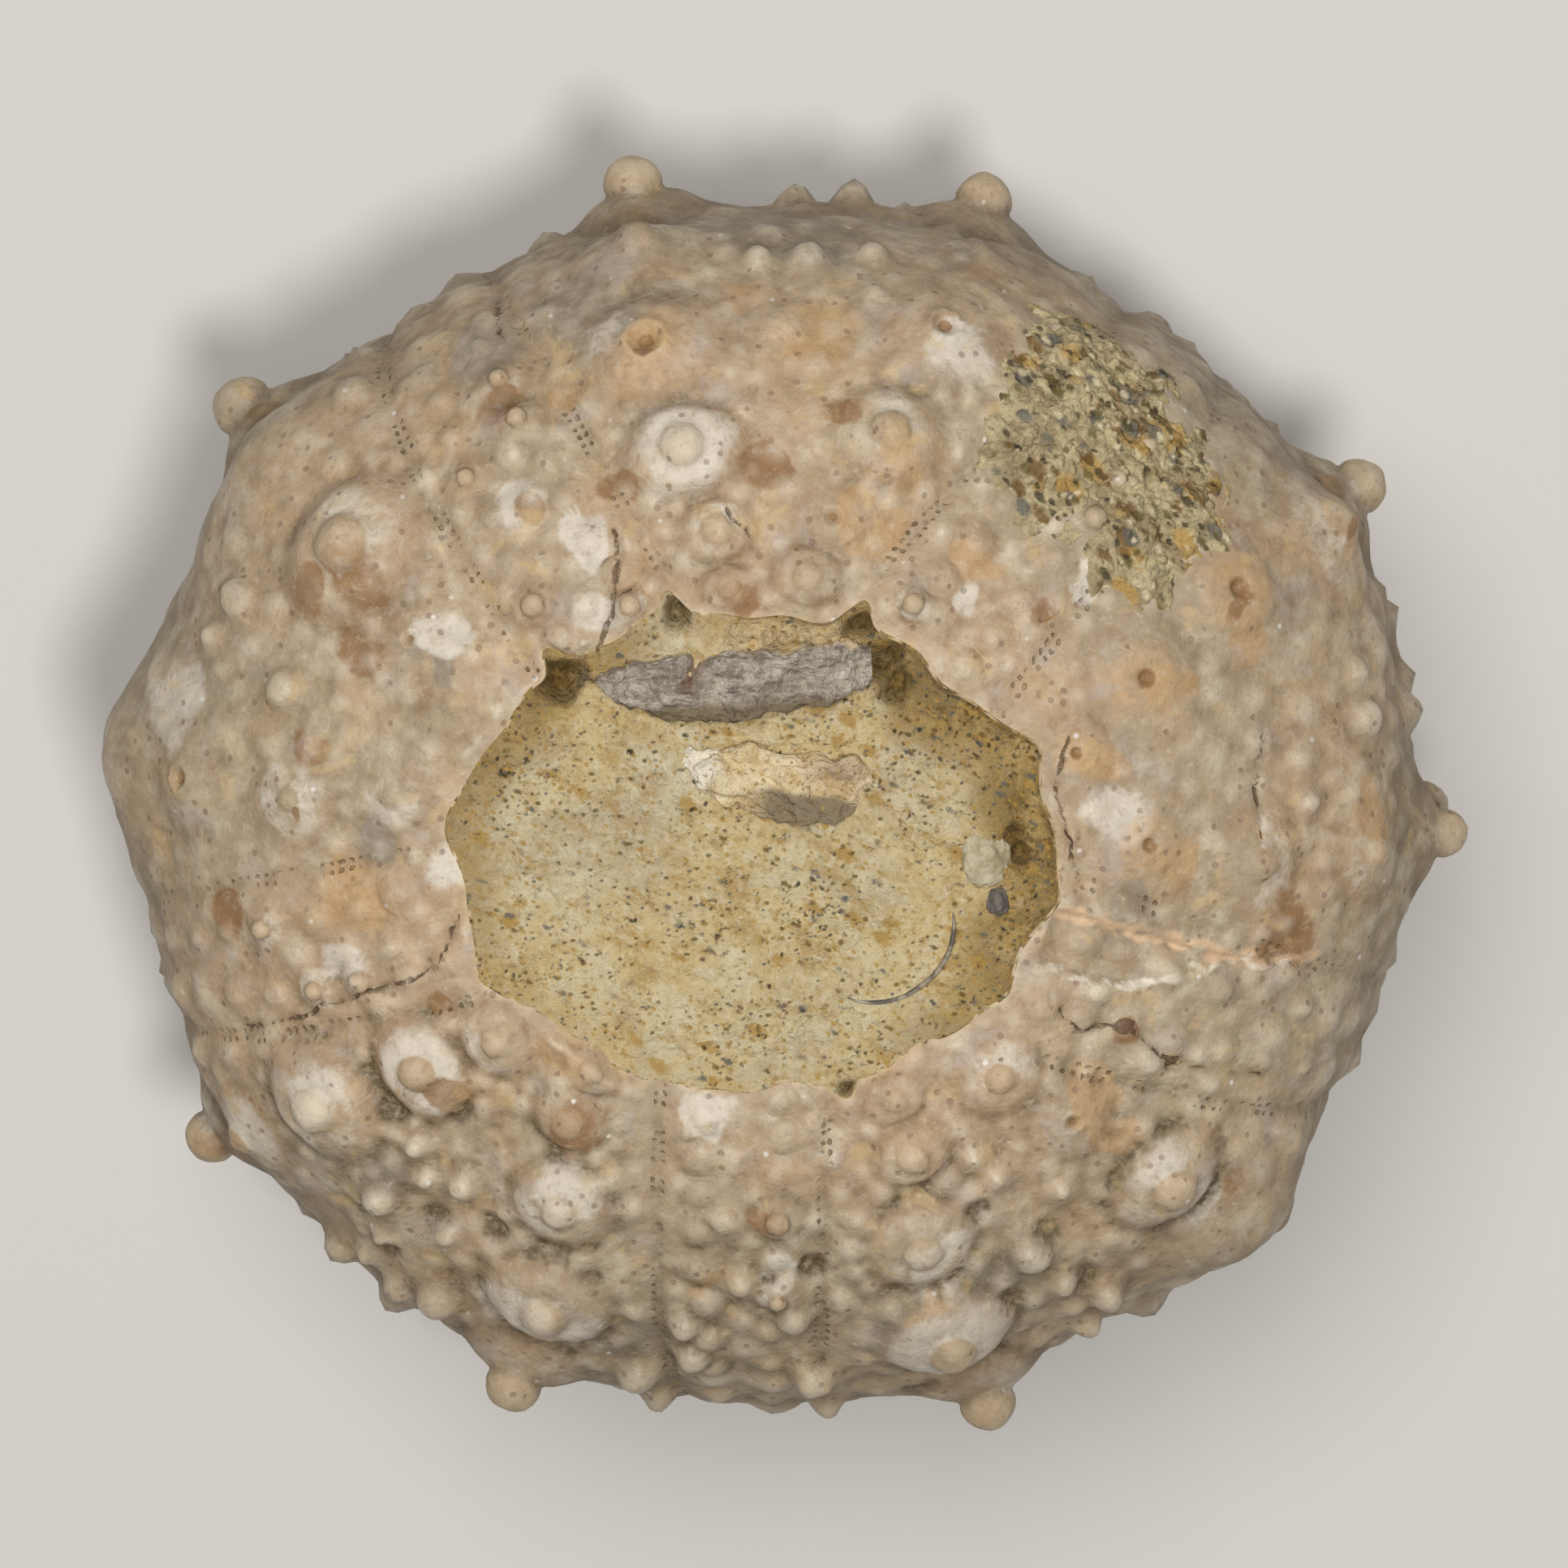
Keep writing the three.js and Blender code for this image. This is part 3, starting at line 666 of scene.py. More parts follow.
class Paint:
    """A material and short ways to add nodes to it. Values are numbers or other nodes' outputs.
    Its colour starts with a ground of two colours, and coats go over it."""

    def __init__(self, name):
        self.material = bpy.data.materials.new(name)
        self.material.use_nodes = True
        self.tree = self.material.node_tree
        self.tree.nodes.clear()
        self.out = self.tree.nodes.new("ShaderNodeOutputMaterial")
        self.shader = self.tree.nodes.new("ShaderNodeBsdfPrincipled")
        self.tree.links.new(self.shader.outputs[0], self.out.inputs[0])
        self.place = self.tree.nodes.new("ShaderNodeTexCoord").outputs["Object"]

    def put(self, socket, value):
        if isinstance(value, bpy.types.NodeSocket):
            self.tree.links.new(value, socket)
        else:
            socket.default_value = value

    def math(self, operation, a, b=0.0):
        node = self.tree.nodes.new("ShaderNodeMath")
        node.operation = operation
        self.put(node.inputs[0], a)
        self.put(node.inputs[1], b)
        return node.outputs[0]

    def times(self, a, b):
        return self.math("MULTIPLY", a, b)

    def plus(self, a, b):
        return self.math("ADD", a, b)

    def minus(self, a, b):
        return self.math("SUBTRACT", a, b)

    def above(self, a, b):
        return self.math("GREATER_THAN", a, b)

    def noise(self, per_mm, detail, rough, shift=None, warp=0.0, place=None):
        """Smooth noise, about 0.3 to 0.7. A shift, in metres, tells one pattern from another."""
        place = self.moved(shift) if shift else place or self.place
        node = self.tree.nodes.new("ShaderNodeTexNoise")
        self.put(node.inputs["Vector"], place)
        node.inputs["Scale"].default_value = per_mm * 1000
        node.inputs["Detail"].default_value = detail
        node.inputs["Roughness"].default_value = rough
        node.inputs["Distortion"].default_value = warp
        return node.outputs["Fac"]

    def cells(self, per_mm, place=None):
        """Grains: outputs of how far the nearest grain's middle is, and of a colour for each."""
        node = self.tree.nodes.new("ShaderNodeTexVoronoi")
        self.put(node.inputs["Vector"], place or self.place)
        node.inputs["Scale"].default_value = per_mm * 1000
        return node

    def drawn_out(self, shift, turn, length):
        """Coordinates in which a pattern is drawn out along a direction, turn radians round from X."""
        node = self.tree.nodes.new("ShaderNodeMapping")
        node.vector_type = "TEXTURE"
        self.put(node.inputs["Vector"], self.place)
        node.inputs["Location"].default_value = shift
        node.inputs["Rotation"].default_value = (0, 0, turn)
        node.inputs["Scale"].default_value = (length, 1, 1)
        return node.outputs[0]

    def moved(self, shift=(0, 0, 0), turn=(0, 0, 0), scale=(1, 1, 1)):
        node = self.tree.nodes.new("ShaderNodeMapping")
        self.put(node.inputs["Vector"], self.place)
        node.inputs["Location"].default_value = shift
        node.inputs["Rotation"].default_value = turn
        node.inputs["Scale"].default_value = scale
        return node.outputs[0]

    def span(self, value, low, high, to_low=0.0, to_high=1.0):
        """value from low to high becomes to_low to to_high, eased at both ends."""
        node = self.tree.nodes.new("ShaderNodeMapRange")
        node.interpolation_type = "SMOOTHSTEP"
        for socket, number in zip(node.inputs[:5], (value, low, high, to_low, to_high)):
            self.put(socket, number)
        return node.outputs[0]

    def mix(self, part, a, b):
        node = self.tree.nodes.new("ShaderNodeMix")
        node.data_type = "RGBA"
        self.put(node.inputs[0], part)
        self.put(node.inputs[6], a)
        self.put(node.inputs[7], b)
        return node.outputs[2]

    def ground(self, part, first, second):
        self.colour = self.mix(part, tint(*first), tint(*second))

    def coat(self, part, over):
        self.colour = self.mix(part, self.colour, tint(*over))

    def layer(self, name):
        node = self.tree.nodes.new("ShaderNodeAttribute")
        node.attribute_name = name
        return node

    def split(self, vector):
        node = self.tree.nodes.new("ShaderNodeSeparateXYZ")
        self.put(node.inputs[0], vector)
        return node.outputs

    def bump(self, height, distance_mm, strength):
        node = self.tree.nodes.new("ShaderNodeBump")
        node.inputs["Strength"].default_value = strength
        node.inputs["Distance"].default_value = distance_mm * MM
        self.put(node.inputs["Height"], height)
        return node.outputs[0]

    def finish(self, roughness, normal, specular):
        self.put(self.shader.inputs["Base Color"], self.colour)
        self.put(self.shader.inputs["Roughness"], roughness)
        if normal:
            self.put(self.shader.inputs["Normal"], normal)
        self.shader.inputs["Specular IOR Level"].default_value = specular
        return self.material


paint = Paint("worn_calcite")
stains = paint.layer("stain")
rust, ochre, white = paint.split(stains.outputs["Color"])
grey = stains.outputs["Alpha"]
shape = paint.layer("shape")
hollow_dirt_and_shade, crest, ring = paint.split(shape.outputs["Color"])
ball = shape.outputs["Alpha"]
lines = paint.split(paint.layer("lines").outputs["Vector"])
pores = paint.split(paint.layer("pores").outputs["Vector"])
broad_noise = paint.noise(0.16, 3, 0.5, warp=0.4)
mottle = paint.noise(0.75, 4, 0.6, warp=0.6)
blotch = paint.noise(1.15, 4, 0.62, shift=(0.031, 0.017, 0.043))
grain = paint.noise(5.5, 3, 0.6)
paint.ground(paint.span(broad_noise, 0.38, 0.62), (170, 153, 127), (183, 157, 127))
paint.coat(paint.span(mottle, 0.48, 0.68, 0, 0.6), (202, 188, 162))
paint.coat(paint.span(blotch, 0.53, 0.72, 0, 0.55), (146, 119, 96))
warm = paint.noise(0.4, 4, 0.6, shift=(0.05, 0.08, 0.02))
paint.coat(paint.span(warm, 0.52, 0.7, 0, 0.5), (193, 160, 118))

tear = paint.noise(1.9, 6, 0.7, shift=(0.011, 0.033, 0.021), warp=0.5)
torn = paint.times(tear, 1.5)


def stained(mask, amount, low, high):
    """A stain's mask with a torn outline."""
    return paint.times(paint.span(paint.plus(mask, torn), low, high), amount)


paint.coat(stained(grey, 0.65, 1.0, 1.7), (132, 124, 112))
paint.coat(stained(white, 0.8, 1.05, 1.65), (224, 216, 202))
paint.coat(stained(ochre, 0.7, 1.05, 1.75), (193, 154, 106))
paint.coat(stained(rust, 0.85, 1.1, 1.6), (144, 104, 62))
paint.coat(paint.times(ring, paint.span(blotch, 0.35, 0.65, 0.1, 0.6)), (158, 122, 90))
# dirt and painted shade in the hollows, a dark olive-brown
dirt_and_shade = paint.times(hollow_dirt_and_shade, paint.span(grain, 0.3, 0.65, 0.45, 1.0))
paint.coat(paint.times(dirt_and_shade, 0.9), (88, 74, 46))
paint.coat(paint.times(crest, paint.span(tear, 0.3, 0.6, 0.35, 0.8)), (216, 203, 180))
lilac = paint.noise(0.62, 4, 0.62, shift=(0.09, 0.02, 0.06), warp=0.5)
paint.coat(paint.span(lilac, 0.55, 0.7, 0, 0.42), (182, 170, 164))
butter = paint.noise(0.85, 4, 0.62, shift=(0.015, 0.07, 0.035), warp=0.5)
paint.coat(paint.span(butter, 0.56, 0.7, 0, 0.5), (208, 178, 126))
paint.coat(paint.times(ball, 0.5), (206, 182, 148))
fine_mottle = paint.noise(3.6, 4, 0.7, shift=(0.02, 0.01, 0.05))
paint.coat(paint.span(fine_mottle, 0.5, 0.72, 0, 0.4), (132, 108, 82))
paint.coat(paint.span(fine_mottle, 0.28, 0.46, 0.4, 0), (212, 198, 174))
spots = paint.cells(3.2)
few = paint.above(paint.split(spots.outputs["Color"])[0], 0.8)
dot = paint.times(paint.span(spots.outputs["Distance"], 0.16, 0.34, 1, 0), few)
paint.coat(paint.times(dot, 0.55), (128, 100, 82))
# painted glints: tiny white highlight dots in the colour, where the surface is also made a little less rough
glints = paint.cells(2.1, place=paint.moved((0.01, 0.02, 0.03)))
painted_glint = paint.times(paint.span(glints.outputs["Distance"], 0.08, 0.2, 1, 0),
                   paint.above(paint.split(glints.outputs["Color"])[1], 0.94))
paint.coat(paint.times(painted_glint, 0.7), (232, 228, 222))
# pore pairs: two dots side by side, again and again along each row
PORE_SPACING, PORE_APART = 0.26, 0.115
step_along = paint.minus(paint.math("FRACT", paint.math("DIVIDE", pores[0], PORE_SPACING)), 0.5)
du = paint.times(paint.minus(fine_mottle, 0.5), 0.34)
du = paint.plus(paint.times(step_along, PORE_SPACING), du)
dv = paint.minus(paint.math("ABSOLUTE", pores[1]), PORE_APART)
dv = paint.plus(dv, paint.times(paint.minus(mottle, 0.5), 0.25))
gap = paint.math("SQRT", paint.plus(paint.times(du, du), paint.times(dv, dv)))
shown = paint.span(paint.noise(1.3, 2, 0.5, shift=(0.07, 0.01, 0.05)), 0.5, 0.62)
pore = paint.times(paint.span(gap, 0.03, 0.07, 1, 0), paint.times(pores[2], shown))
paint.coat(paint.times(pore, paint.span(blotch, 0.4, 0.6, 0.35, 0.8)), (96, 76, 46))
ragged = paint.times(grain, 0.1)
split_line = paint.span(paint.plus(lines[0], ragged), 0.075, 0.12, 1, 0)
paint.coat(paint.times(split_line, 0.8), (88, 62, 38))
torn_edge = paint.times(tear, 0.4)
paint.coat(paint.span(paint.plus(lines[1], torn_edge), 0.26, 0.5, 0.85, 0), (222, 188, 152))
paint.coat(paint.span(paint.plus(lines[2], torn_edge), 0.22, 0.36, 0.9, 0), (230, 220, 202))
# painted shade: the sides grow darker lower down, towards the floor, broken up by noise and kept off the
# balls
depth = paint.split(paint.place)[2]
side_shade = paint.plus(paint.span(depth, 0.009, 0.021, 0.6, 0.0), paint.times(blotch, 0.3))
side_shade = paint.times(paint.span(side_shade, 0.1, 0.62, 0, 0.62), paint.minus(1.0, ball))
side_shade = paint.times(side_shade, paint.span(mottle, 0.34, 0.62, 1.0, 0.45))
paint.coat(side_shade, (116, 101, 80))
# painted shade: darker again towards the lower side
toward = paint.plus(paint.split(paint.place)[1], paint.times(mottle, 0.004))
paint.coat(paint.span(toward, -0.0125, -0.0035, 0.24, 0), (112, 97, 76))
# sand left on the rim, next to the filling
dust = paint.plus(paint.layer("rim").outputs["Fac"], paint.times(tear, 0.7))
dust = paint.span(dust, 0.34, 0.62, 0.7, 0)
paint.coat(dust, (202, 180, 134))
rough = paint.span(paint.plus(mottle, paint.times(crest, 0.35)), 0.3, 0.9, 0.68, 0.4)
rough = paint.minus(rough, paint.times(painted_glint, 0.3))
height = paint.plus(paint.noise(3.2, 5, 0.62), paint.times(grain, 0.5))
height = paint.minus(height, paint.times(pore, 1.2))
height = paint.minus(height, paint.times(split_line, 1.6))
height = paint.minus(height, paint.times(dot, 0.35))
material = paint.finish(rough, paint.bump(height, 0.07, 0.75), 0.45)

rubbed = np.clip(0.8 * peak + 0.5 * knob_top, 0, 1)
pores_shown = fade(np.abs(across), 0.3, 0.5) * step(latitude, -75, -60) * step(rim, 0.1, 0.35)
test = write_mesh(
    "test", test_form, points, material,
    stain=stain,
    shape=np.stack([cavity_dirt_and_shade, rubbed, areole, ball_top * 0.8], axis=1),
    lines=np.stack([crack, peach, white_edge], axis=1),
    pores=np.stack([along, across, pores_shown], axis=1),
    rim=np.clip(rim, 0, 3),
)
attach(test, "root")
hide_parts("test")


# ---------------------------------------------------------------- matrix plug
# Sandy limestone that set inside the mouth opening, flush with its rim below and a little low by the
# upper gill notches. Cream, with ochre towards the edge and dark grains of other rock through it.
plug_form = new_ball(7)
way = ways_out(plug_form)
tilt = np.degrees(np.arccos(np.clip(way[:, 2], -1, 1)))
turn = np.degrees(np.arctan2(way[:, 1], way[:, 0]))
# the ball's upper half becomes the top, a band below it the side, and the rest the underside
SIDE_FROM, SIDE_TO = 90, 112
edge_radius = mouth_radius(turn) + 0.17
out = np.where(tilt < SIDE_FROM, np.sqrt(2) * np.sin(np.radians(np.minimum(tilt, SIDE_FROM)) / 2), 1)
out = np.where(tilt > SIDE_TO, (180 - tilt) / (180 - SIDE_TO), out)
x = MOUTH[0] + out * edge_radius * np.cos(np.radians(turn))
y = MOUTH[1] + out * edge_radius * np.sin(np.radians(turn))
flat_places = np.stack([x, y, np.zeros(len(x))], axis=1)
edge_gap = (1 - out) * edge_radius
# the filling meets the rim round the opening, and domes a little in the middle
near_rim = np.nonzero((rim > 0.12) & (rim < 0.3))[0]
rim_turn = np.degrees(np.arctan2(base[near_rim, 1] - MOUTH[1], base[near_rim, 0] - MOUTH[0])) % 360
sort = np.argsort(rim_turn)
evened = np.convolve(base[near_rim, 2][sort], np.ones(25) / 25, "same")
rim_height = np.clip(np.interp(turn % 360, rim_turn[sort], evened, period=360), 19.8, 20.5) + 0.02
surface = rim_height * out**2 + (1 - out**2) * 20.3 - 0.02
inner = step(edge_gap, 0.1, 0.9)
surface += inner * (0.14 * lumps(flat_places, 0.45, 50) + 0.1 * lumps(flat_places, 1.4, 51))
surface += 0.06 * lumps(flat_places, 3.2, 52) + 0.05 * lumps(flat_places, 6.5, 54)
# it lies low along the right-hand rim
facing_right = step(np.cos(np.radians(turn - 12)), 0.55, 0.9)
surface -= 0.22 * facing_right * fade(edge_gap, 0.25, 1.3) * step(edge_gap, 0, 0.25)
ragged_x, ragged_y = 0.28 * lumps(flat_places, 1.3, 55), 0.28 * lumps(flat_places, 1.3, 56)
# hollows at the gill notches and by the right-hand rim: x, y, radius, depth
HOLLOWS = [
    (-5.45, 4.25, 0.6, 0.8), (-2.75, 5.85, 0.42, 0.8), (1.8, 5.5, 0.42, 0.8), (1.7, -6.15, 0.42, 0.7),
    (2.3, 4.7, 0.5, 0.6), (2.75, 4.1, 0.5, 0.45), (5.65, -0.2, 0.4, 0.5), (5.6, 0.35, 0.35, 0.4),
]
for hx, hy, radius, depth in HOLLOWS:
    d = np.hypot(x + ragged_x - hx, y + ragged_y - hy) / radius
    surface -= depth * fade(d, 0.3, 1.1)
ridge = np.exp(-(((y - 5.4 - 0.03 * x) / 0.34) ** 2)) * step(x, -1.7, -1.0) * fade(x, 1.2, 1.7)
surface += ridge * (0.5 + 0.35 * lumps(flat_places, 3.1, 53) + 0.2 * lumps(flat_places, 6.5, 57))
# a bed for the plate fragment
surface -= 0.12 * np.exp(-(((x - 0.1) / 2.4) ** 4) - (((y - 2.0 + 0.12 * x) / 0.85) ** 4))
down_the_side = np.clip((tilt - SIDE_FROM) / (SIDE_TO - SIDE_FROM), 0, 1)
z = surface + (MOUTH_FLOOR + 0.08 - surface) * down_the_side

GRAIN_COLOURS = {
    "pale": (232, 218, 182), "ochre": (196, 158, 88), "brown": (122, 92, 50), "slate": (112, 112, 106),
    "black": (62, 56, 42), "olive": (108, 98, 56),
}
paint = Paint("sandy_limestone")
edge_tint, raised, shade = paint.split(paint.layer("filling").outputs["Vector"])
wide = paint.noise(0.28, 4, 0.6, warp=0.5)
sand = paint.noise(4.0, 5, 0.7)
streaky = paint.drawn_out((0.013, 0.02, 0.0), -0.45, 1.7)
clots = paint.noise(1.5, 5, 0.7, place=streaky)
swirl = paint.noise(0.75, 5, 0.66, shift=(0.07, 0.03, 0.0), warp=0.5)
paint.ground(paint.span(wide, 0.38, 0.6), (214, 198, 164), (228, 204, 150))
paint.coat(paint.span(swirl, 0.48, 0.64, 0, 0.7), (238, 224, 184))
paint.coat(paint.span(swirl, 0.34, 0.47, 0.6, 0), (200, 172, 120))
paint.coat(paint.span(clots, 0.52, 0.66, 0, 0.6), (240, 228, 196))
paint.coat(paint.span(clots, 0.34, 0.47, 0.65, 0), (194, 158, 98))
paint.coat(paint.span(sand, 0.52, 0.68, 0, 0.6), (244, 234, 206))
paint.coat(paint.span(sand, 0.34, 0.46, 0.6, 0), (184, 154, 102))
edge_mask = paint.span(paint.plus(edge_tint, paint.times(clots, 1.1)), 0.85, 1.45)
paint.coat(paint.times(edge_mask, 0.62), (176, 140, 70))
dull = paint.times(paint.span(edge_tint, 0.35, 1.3), paint.span(swirl, 0.42, 0.58, 0, 0.6))
paint.coat(dull, (122, 98, 48))
paint.coat(paint.times(raised, paint.span(sand, 0.35, 0.6, 0.4, 0.95)), (238, 212, 166))
dense = paint.noise(0.55, 4, 0.62, shift=(0.02, 0.05, 0.01), warp=0.6)
dense = paint.plus(dense, paint.times(paint.layer("loam").outputs["Fac"], 0.16))
dense = paint.plus(dense, paint.times(edge_tint, 0.1))
chew = paint.times(paint.noise(7.0, 4, 0.7), 0.9)
# grains of other rock: how many per millimetre, turn, length, colour, how few, size
for per_mm, turn_z, length, name, keep, size in [
    (2.2, -0.5, 1.8, "ochre", 0.72, 0.4), (3.6, -0.4, 1.8, "slate", 0.82, 0.3),
    (4.4, -0.35, 1.6, "brown", 0.82, 0.3), (5.6, 0.1, 1.5, "olive", 0.8, 0.3),
    (6.8, -0.6, 1.4, "ochre", 0.66, 0.36), (5.0, -0.5, 1.7, "black", 0.88, 0.28),
    (7.6, 0.5, 1.5, "brown", 0.8, 0.3), (8.4, 0.0, 1.4, "slate", 0.84, 0.32),
    (6.2, 1.2, 1.6, "black", 0.9, 0.3),
]:
    found = paint.cells(per_mm, place=paint.drawn_out((per_mm * 0.017, 0.009, 0), turn_z, length))
    chance = paint.split(found.outputs["Color"])[0]
    chance = paint.plus(chance, paint.times(paint.minus(dense, 0.55), 0.9))
    reach = paint.plus(found.outputs["Distance"], paint.minus(chew, 0.43))
    bit = paint.span(reach, size - 0.16, size + 0.12, 1, 0)
    bit = paint.times(bit, paint.span(chance, keep, keep + 0.08))
    paint.coat(paint.times(bit, 0.85), GRAIN_COLOURS[name])
# painted shade in the hollows of the filling
paint.coat(paint.times(shade, paint.span(sand, 0.35, 0.6, 0.95, 0.6)), (82, 62, 26))
height = paint.plus(paint.noise(2.6, 6, 0.75), sand)
height = paint.plus(height, paint.times(clots, 0.6))
material = paint.finish(0.92, paint.bump(height, 0.2, 1.0), 0.2)

# where the painted shade goes: the same hollows, the last two a little smaller and moved
hollow_shade = np.zeros(len(x))
for hx, hy, radius, _ in HOLLOWS[:6] + [(5.65, -0.2, 0.35, 0), (5.6, 0.4, 0.3, 0)]:
    d = np.hypot(x + ragged_x - hx, y + ragged_y - hy) / radius
    hollow_shade = np.maximum(hollow_shade, fade(d, 0.3, 1.3))
# most ochre on the right and upper left, least along the bottom
OCHRE_AT = [0, 40, 75, 110, 140, 200, 235, 300, 330, 360]
OCHRE = [1.35, 1.3, 0.8, 0.5, 1.1, 0.6, 0.45, 0.4, 1.0, 1.35]
edge_amount = fade(edge_gap / (1 + 0.5 * facing_right), 0.1, 2.2) * np.interp(turn % 360, OCHRE_AT, OCHRE)
# patches with more grains than the rest: x, y, radius
LOAM = [
    (5.2, 2.6, 1.7), (-6.0, 2.2, 1.4), (-1.8, 1.0, 1.2), (5.5, -2.9, 1.2), (3.6, 3.4, 1.2), (0.4, -1.4, 1.6),
]
loam = np.zeros(len(x))
for lx, ly, radius in LOAM:
    loam = np.maximum(loam, fade(np.hypot(x - lx, y - ly) / radius, 0.2, 1.2))
matrix = write_mesh(
    "matrix_plug", plug_form, np.stack([x, y, z], axis=1), material,
    filling=np.stack([edge_amount, np.clip(ridge, 0, 1), hollow_shade], axis=1),
    loam=loam,
)
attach(matrix, "root")
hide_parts("matrix_plug")


# ---------------------------------------------------------------- jaw and plate fragments
# A broken bar of the urchin's own jaw, blue-grey and finely ridged along its length, and under it a
# bit of shell plate with a white chipped end. Both lie half bedded in the limestone.
def bar(length, width, height, bow, place, turn, cuts, taper, roughen, seed):
    """A tapered bowed bar, rounded by bevels, its surface chewed by smooth noise."""
    shape = bmesh.new()
    bmesh.ops.create_cube(shape, size=1)
    bmesh.ops.bevel(
        shape, geom=shape.edges[:], offset=0.16, segments=3, profile=0.5, affect="EDGES", material=-1
    )
    bmesh.ops.subdivide_edges(shape, edges=shape.edges[:], cuts=cuts, use_grid_fill=True)
    bmesh.ops.triangulate(shape, faces=shape.faces[:])
    shape.verts.index_update()
    unit = np.array([v.co[:] for v in shape.verts])
    along = unit[:, 0] * 2
    thin = np.interp(along, *taper)
    tall = height * (0.45 + 0.55 * thin)
    local = np.stack([unit[:, 0] * length, unit[:, 1] * width * thin, unit[:, 2] * tall], axis=1)
    local[:, 1] += bow * (1 - along**2)
    chew = lumps(local, 1.3, seed) + 0.5 * lumps(local, 3.4, seed + 1) + 0.25 * lumps(local, 8, seed + 2)
    radial = unit * [0, 1, 1]
    radial = radial / np.maximum(np.linalg.norm(radial, axis=1, keepdims=True), 1e-6)
    local = local + radial * roughen * chew[:, None]
    c, s = np.cos(np.radians(turn)), np.sin(np.radians(turn))
    x, y = local[:, 0] * c - local[:, 1] * s, local[:, 0] * s + local[:, 1] * c
    return shape, np.stack([x, y, local[:, 2]], axis=1) + place, local


JAW_TAPER = ([-1, -0.8, -0.45, 0, 0.5, 0.85, 1], [0.08, 0.4, 0.9, 1.0, 0.9, 0.88, 0.6])
shape, world, local = bar(7.1, 1.7, 1.5, -0.4, (-1.45, 4.5, 20.04), 3.4, 28, JAW_TAPER, 0.3, 60)
bend = 0.2 * np.sin(local[:, 1] * 5) + 0.2 * lumps(local, 2.5, 67)
slit = np.exp(-(((local[:, 0] + 0.85 - bend) / 0.19) ** 2)) * step(local[:, 1], -0.55, -0.25)
world[:, 2] -= 0.6 * slit
world[:, 2] += 0.16 * lumps(local, 0.9, 63) + 0.1 * lumps(local, 2.2, 68)
groove = np.sin(local[:, 1] * 9 + 1.6 * lumps(local, 0.8, 64)) * step(local[:, 2], 0.2, 0.5)
world[:, 2] += 0.05 * groove
paint = Paint("blue_grey_calcite")
marks = paint.split(paint.layer("marks").outputs["Vector"])
bands = paint.noise(1.6, 5, 0.65, place=paint.moved(turn=(0, 0, -0.06), scale=(0.4, 1.5, 1)))
fine_grain = paint.noise(6.0, 4, 0.65)
paint.ground(paint.span(bands, 0.38, 0.6), (140, 129, 117), (188, 176, 161))
blots = paint.noise(2.4, 5, 0.7, shift=(0.02, 0.03, 0.01))
paint.coat(paint.span(blots, 0.52, 0.66, 0, 0.7), (210, 202, 190))
paint.coat(paint.span(blots, 0.34, 0.46, 0.6, 0), (118, 106, 92))
paint.coat(paint.span(fine_grain, 0.52, 0.68, 0, 0.6), (204, 196, 184))
paint.coat(paint.span(fine_grain, 0.32, 0.44, 0.6, 0), (104, 92, 76))
# painted shadow along the lower side and one end
paint.coat(paint.times(marks[2], 0.8), (112, 94, 62))
paint.coat(paint.times(marks[0], 0.9), (112, 74, 38))
paint.coat(paint.times(marks[1], 0.8), (214, 184, 130))
height = paint.plus(paint.plus(bands, blots), paint.times(fine_grain, 0.8))
material = paint.finish(0.72, paint.bump(height, 0.16, 1.0), 0.35)
crumbs = step(local[:, 1] + 0.25 * lumps(local, 2.0, 66), 0.42, 0.62) * step(local[:, 0], -0.2, 0.4)
# painted shadow: one end and the lower side of the jaw are darkened
shaded_low_edge = fade(local[:, 0] + 0.3 * lumps(local, 2, 69), -3.4, -2.7)
shaded_low_edge = np.maximum(shaded_low_edge, fade(local[:, 1], -0.95, -0.6))
jaw = write_mesh("jaw_fragment", shape, world, material, marks=np.stack([slit, crumbs, shaded_low_edge], axis=1))
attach(jaw, "root")
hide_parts("jaw_fragment")

PLATE_TAPER = ([-1, -0.75, -0.3, 0.4, 0.8, 1], [0.3, 0.65, 0.9, 1.0, 0.8, 0.4])
shape, world, local = bar(4.7, 1.7, 0.8, -0.3, (-0.2, 1.95, 20.24), -10, 24, PLATE_TAPER, 0.3, 70)
world[:, 2] += 0.14 * lumps(local, 1.1, 76) + 0.08 * lumps(local, 3.3, 77)
world[:, 2] -= 0.25 * step(local[:, 0], 1.3, 2.3)
# One long edge sinks a little into the filling and gets painted shade.
sunk_shaded_edge = fade(local[:, 1] + 0.2 * lumps(local, 1.5, 74), -0.52, -0.3)
sunk_shaded_edge = sunk_shaded_edge * step(local[:, 0], -0.9, 0.1)
chip = fade(local[:, 0] + 0.25 * lumps(local, 2.0, 75), -1.75, -1.3)
world[:, 2] -= 0.12 * sunk_shaded_edge
paint = Paint("pale_plate_calcite")
marks = paint.split(paint.layer("marks").outputs["Vector"])
patches = paint.noise(1.5, 5, 0.65)
fine_grain = paint.noise(6.0, 4, 0.65, shift=(0.01, 0, 0))
paint.ground(paint.span(patches, 0.38, 0.6), (206, 178, 130), (230, 212, 174))
paint.coat(paint.span(fine_grain, 0.5, 0.7, 0, 0.5), (236, 222, 190))
paint.coat(paint.span(fine_grain, 0.3, 0.42, 0.5, 0), (160, 120, 72))
paint.coat(paint.times(marks[2], 0.8), (176, 152, 130))
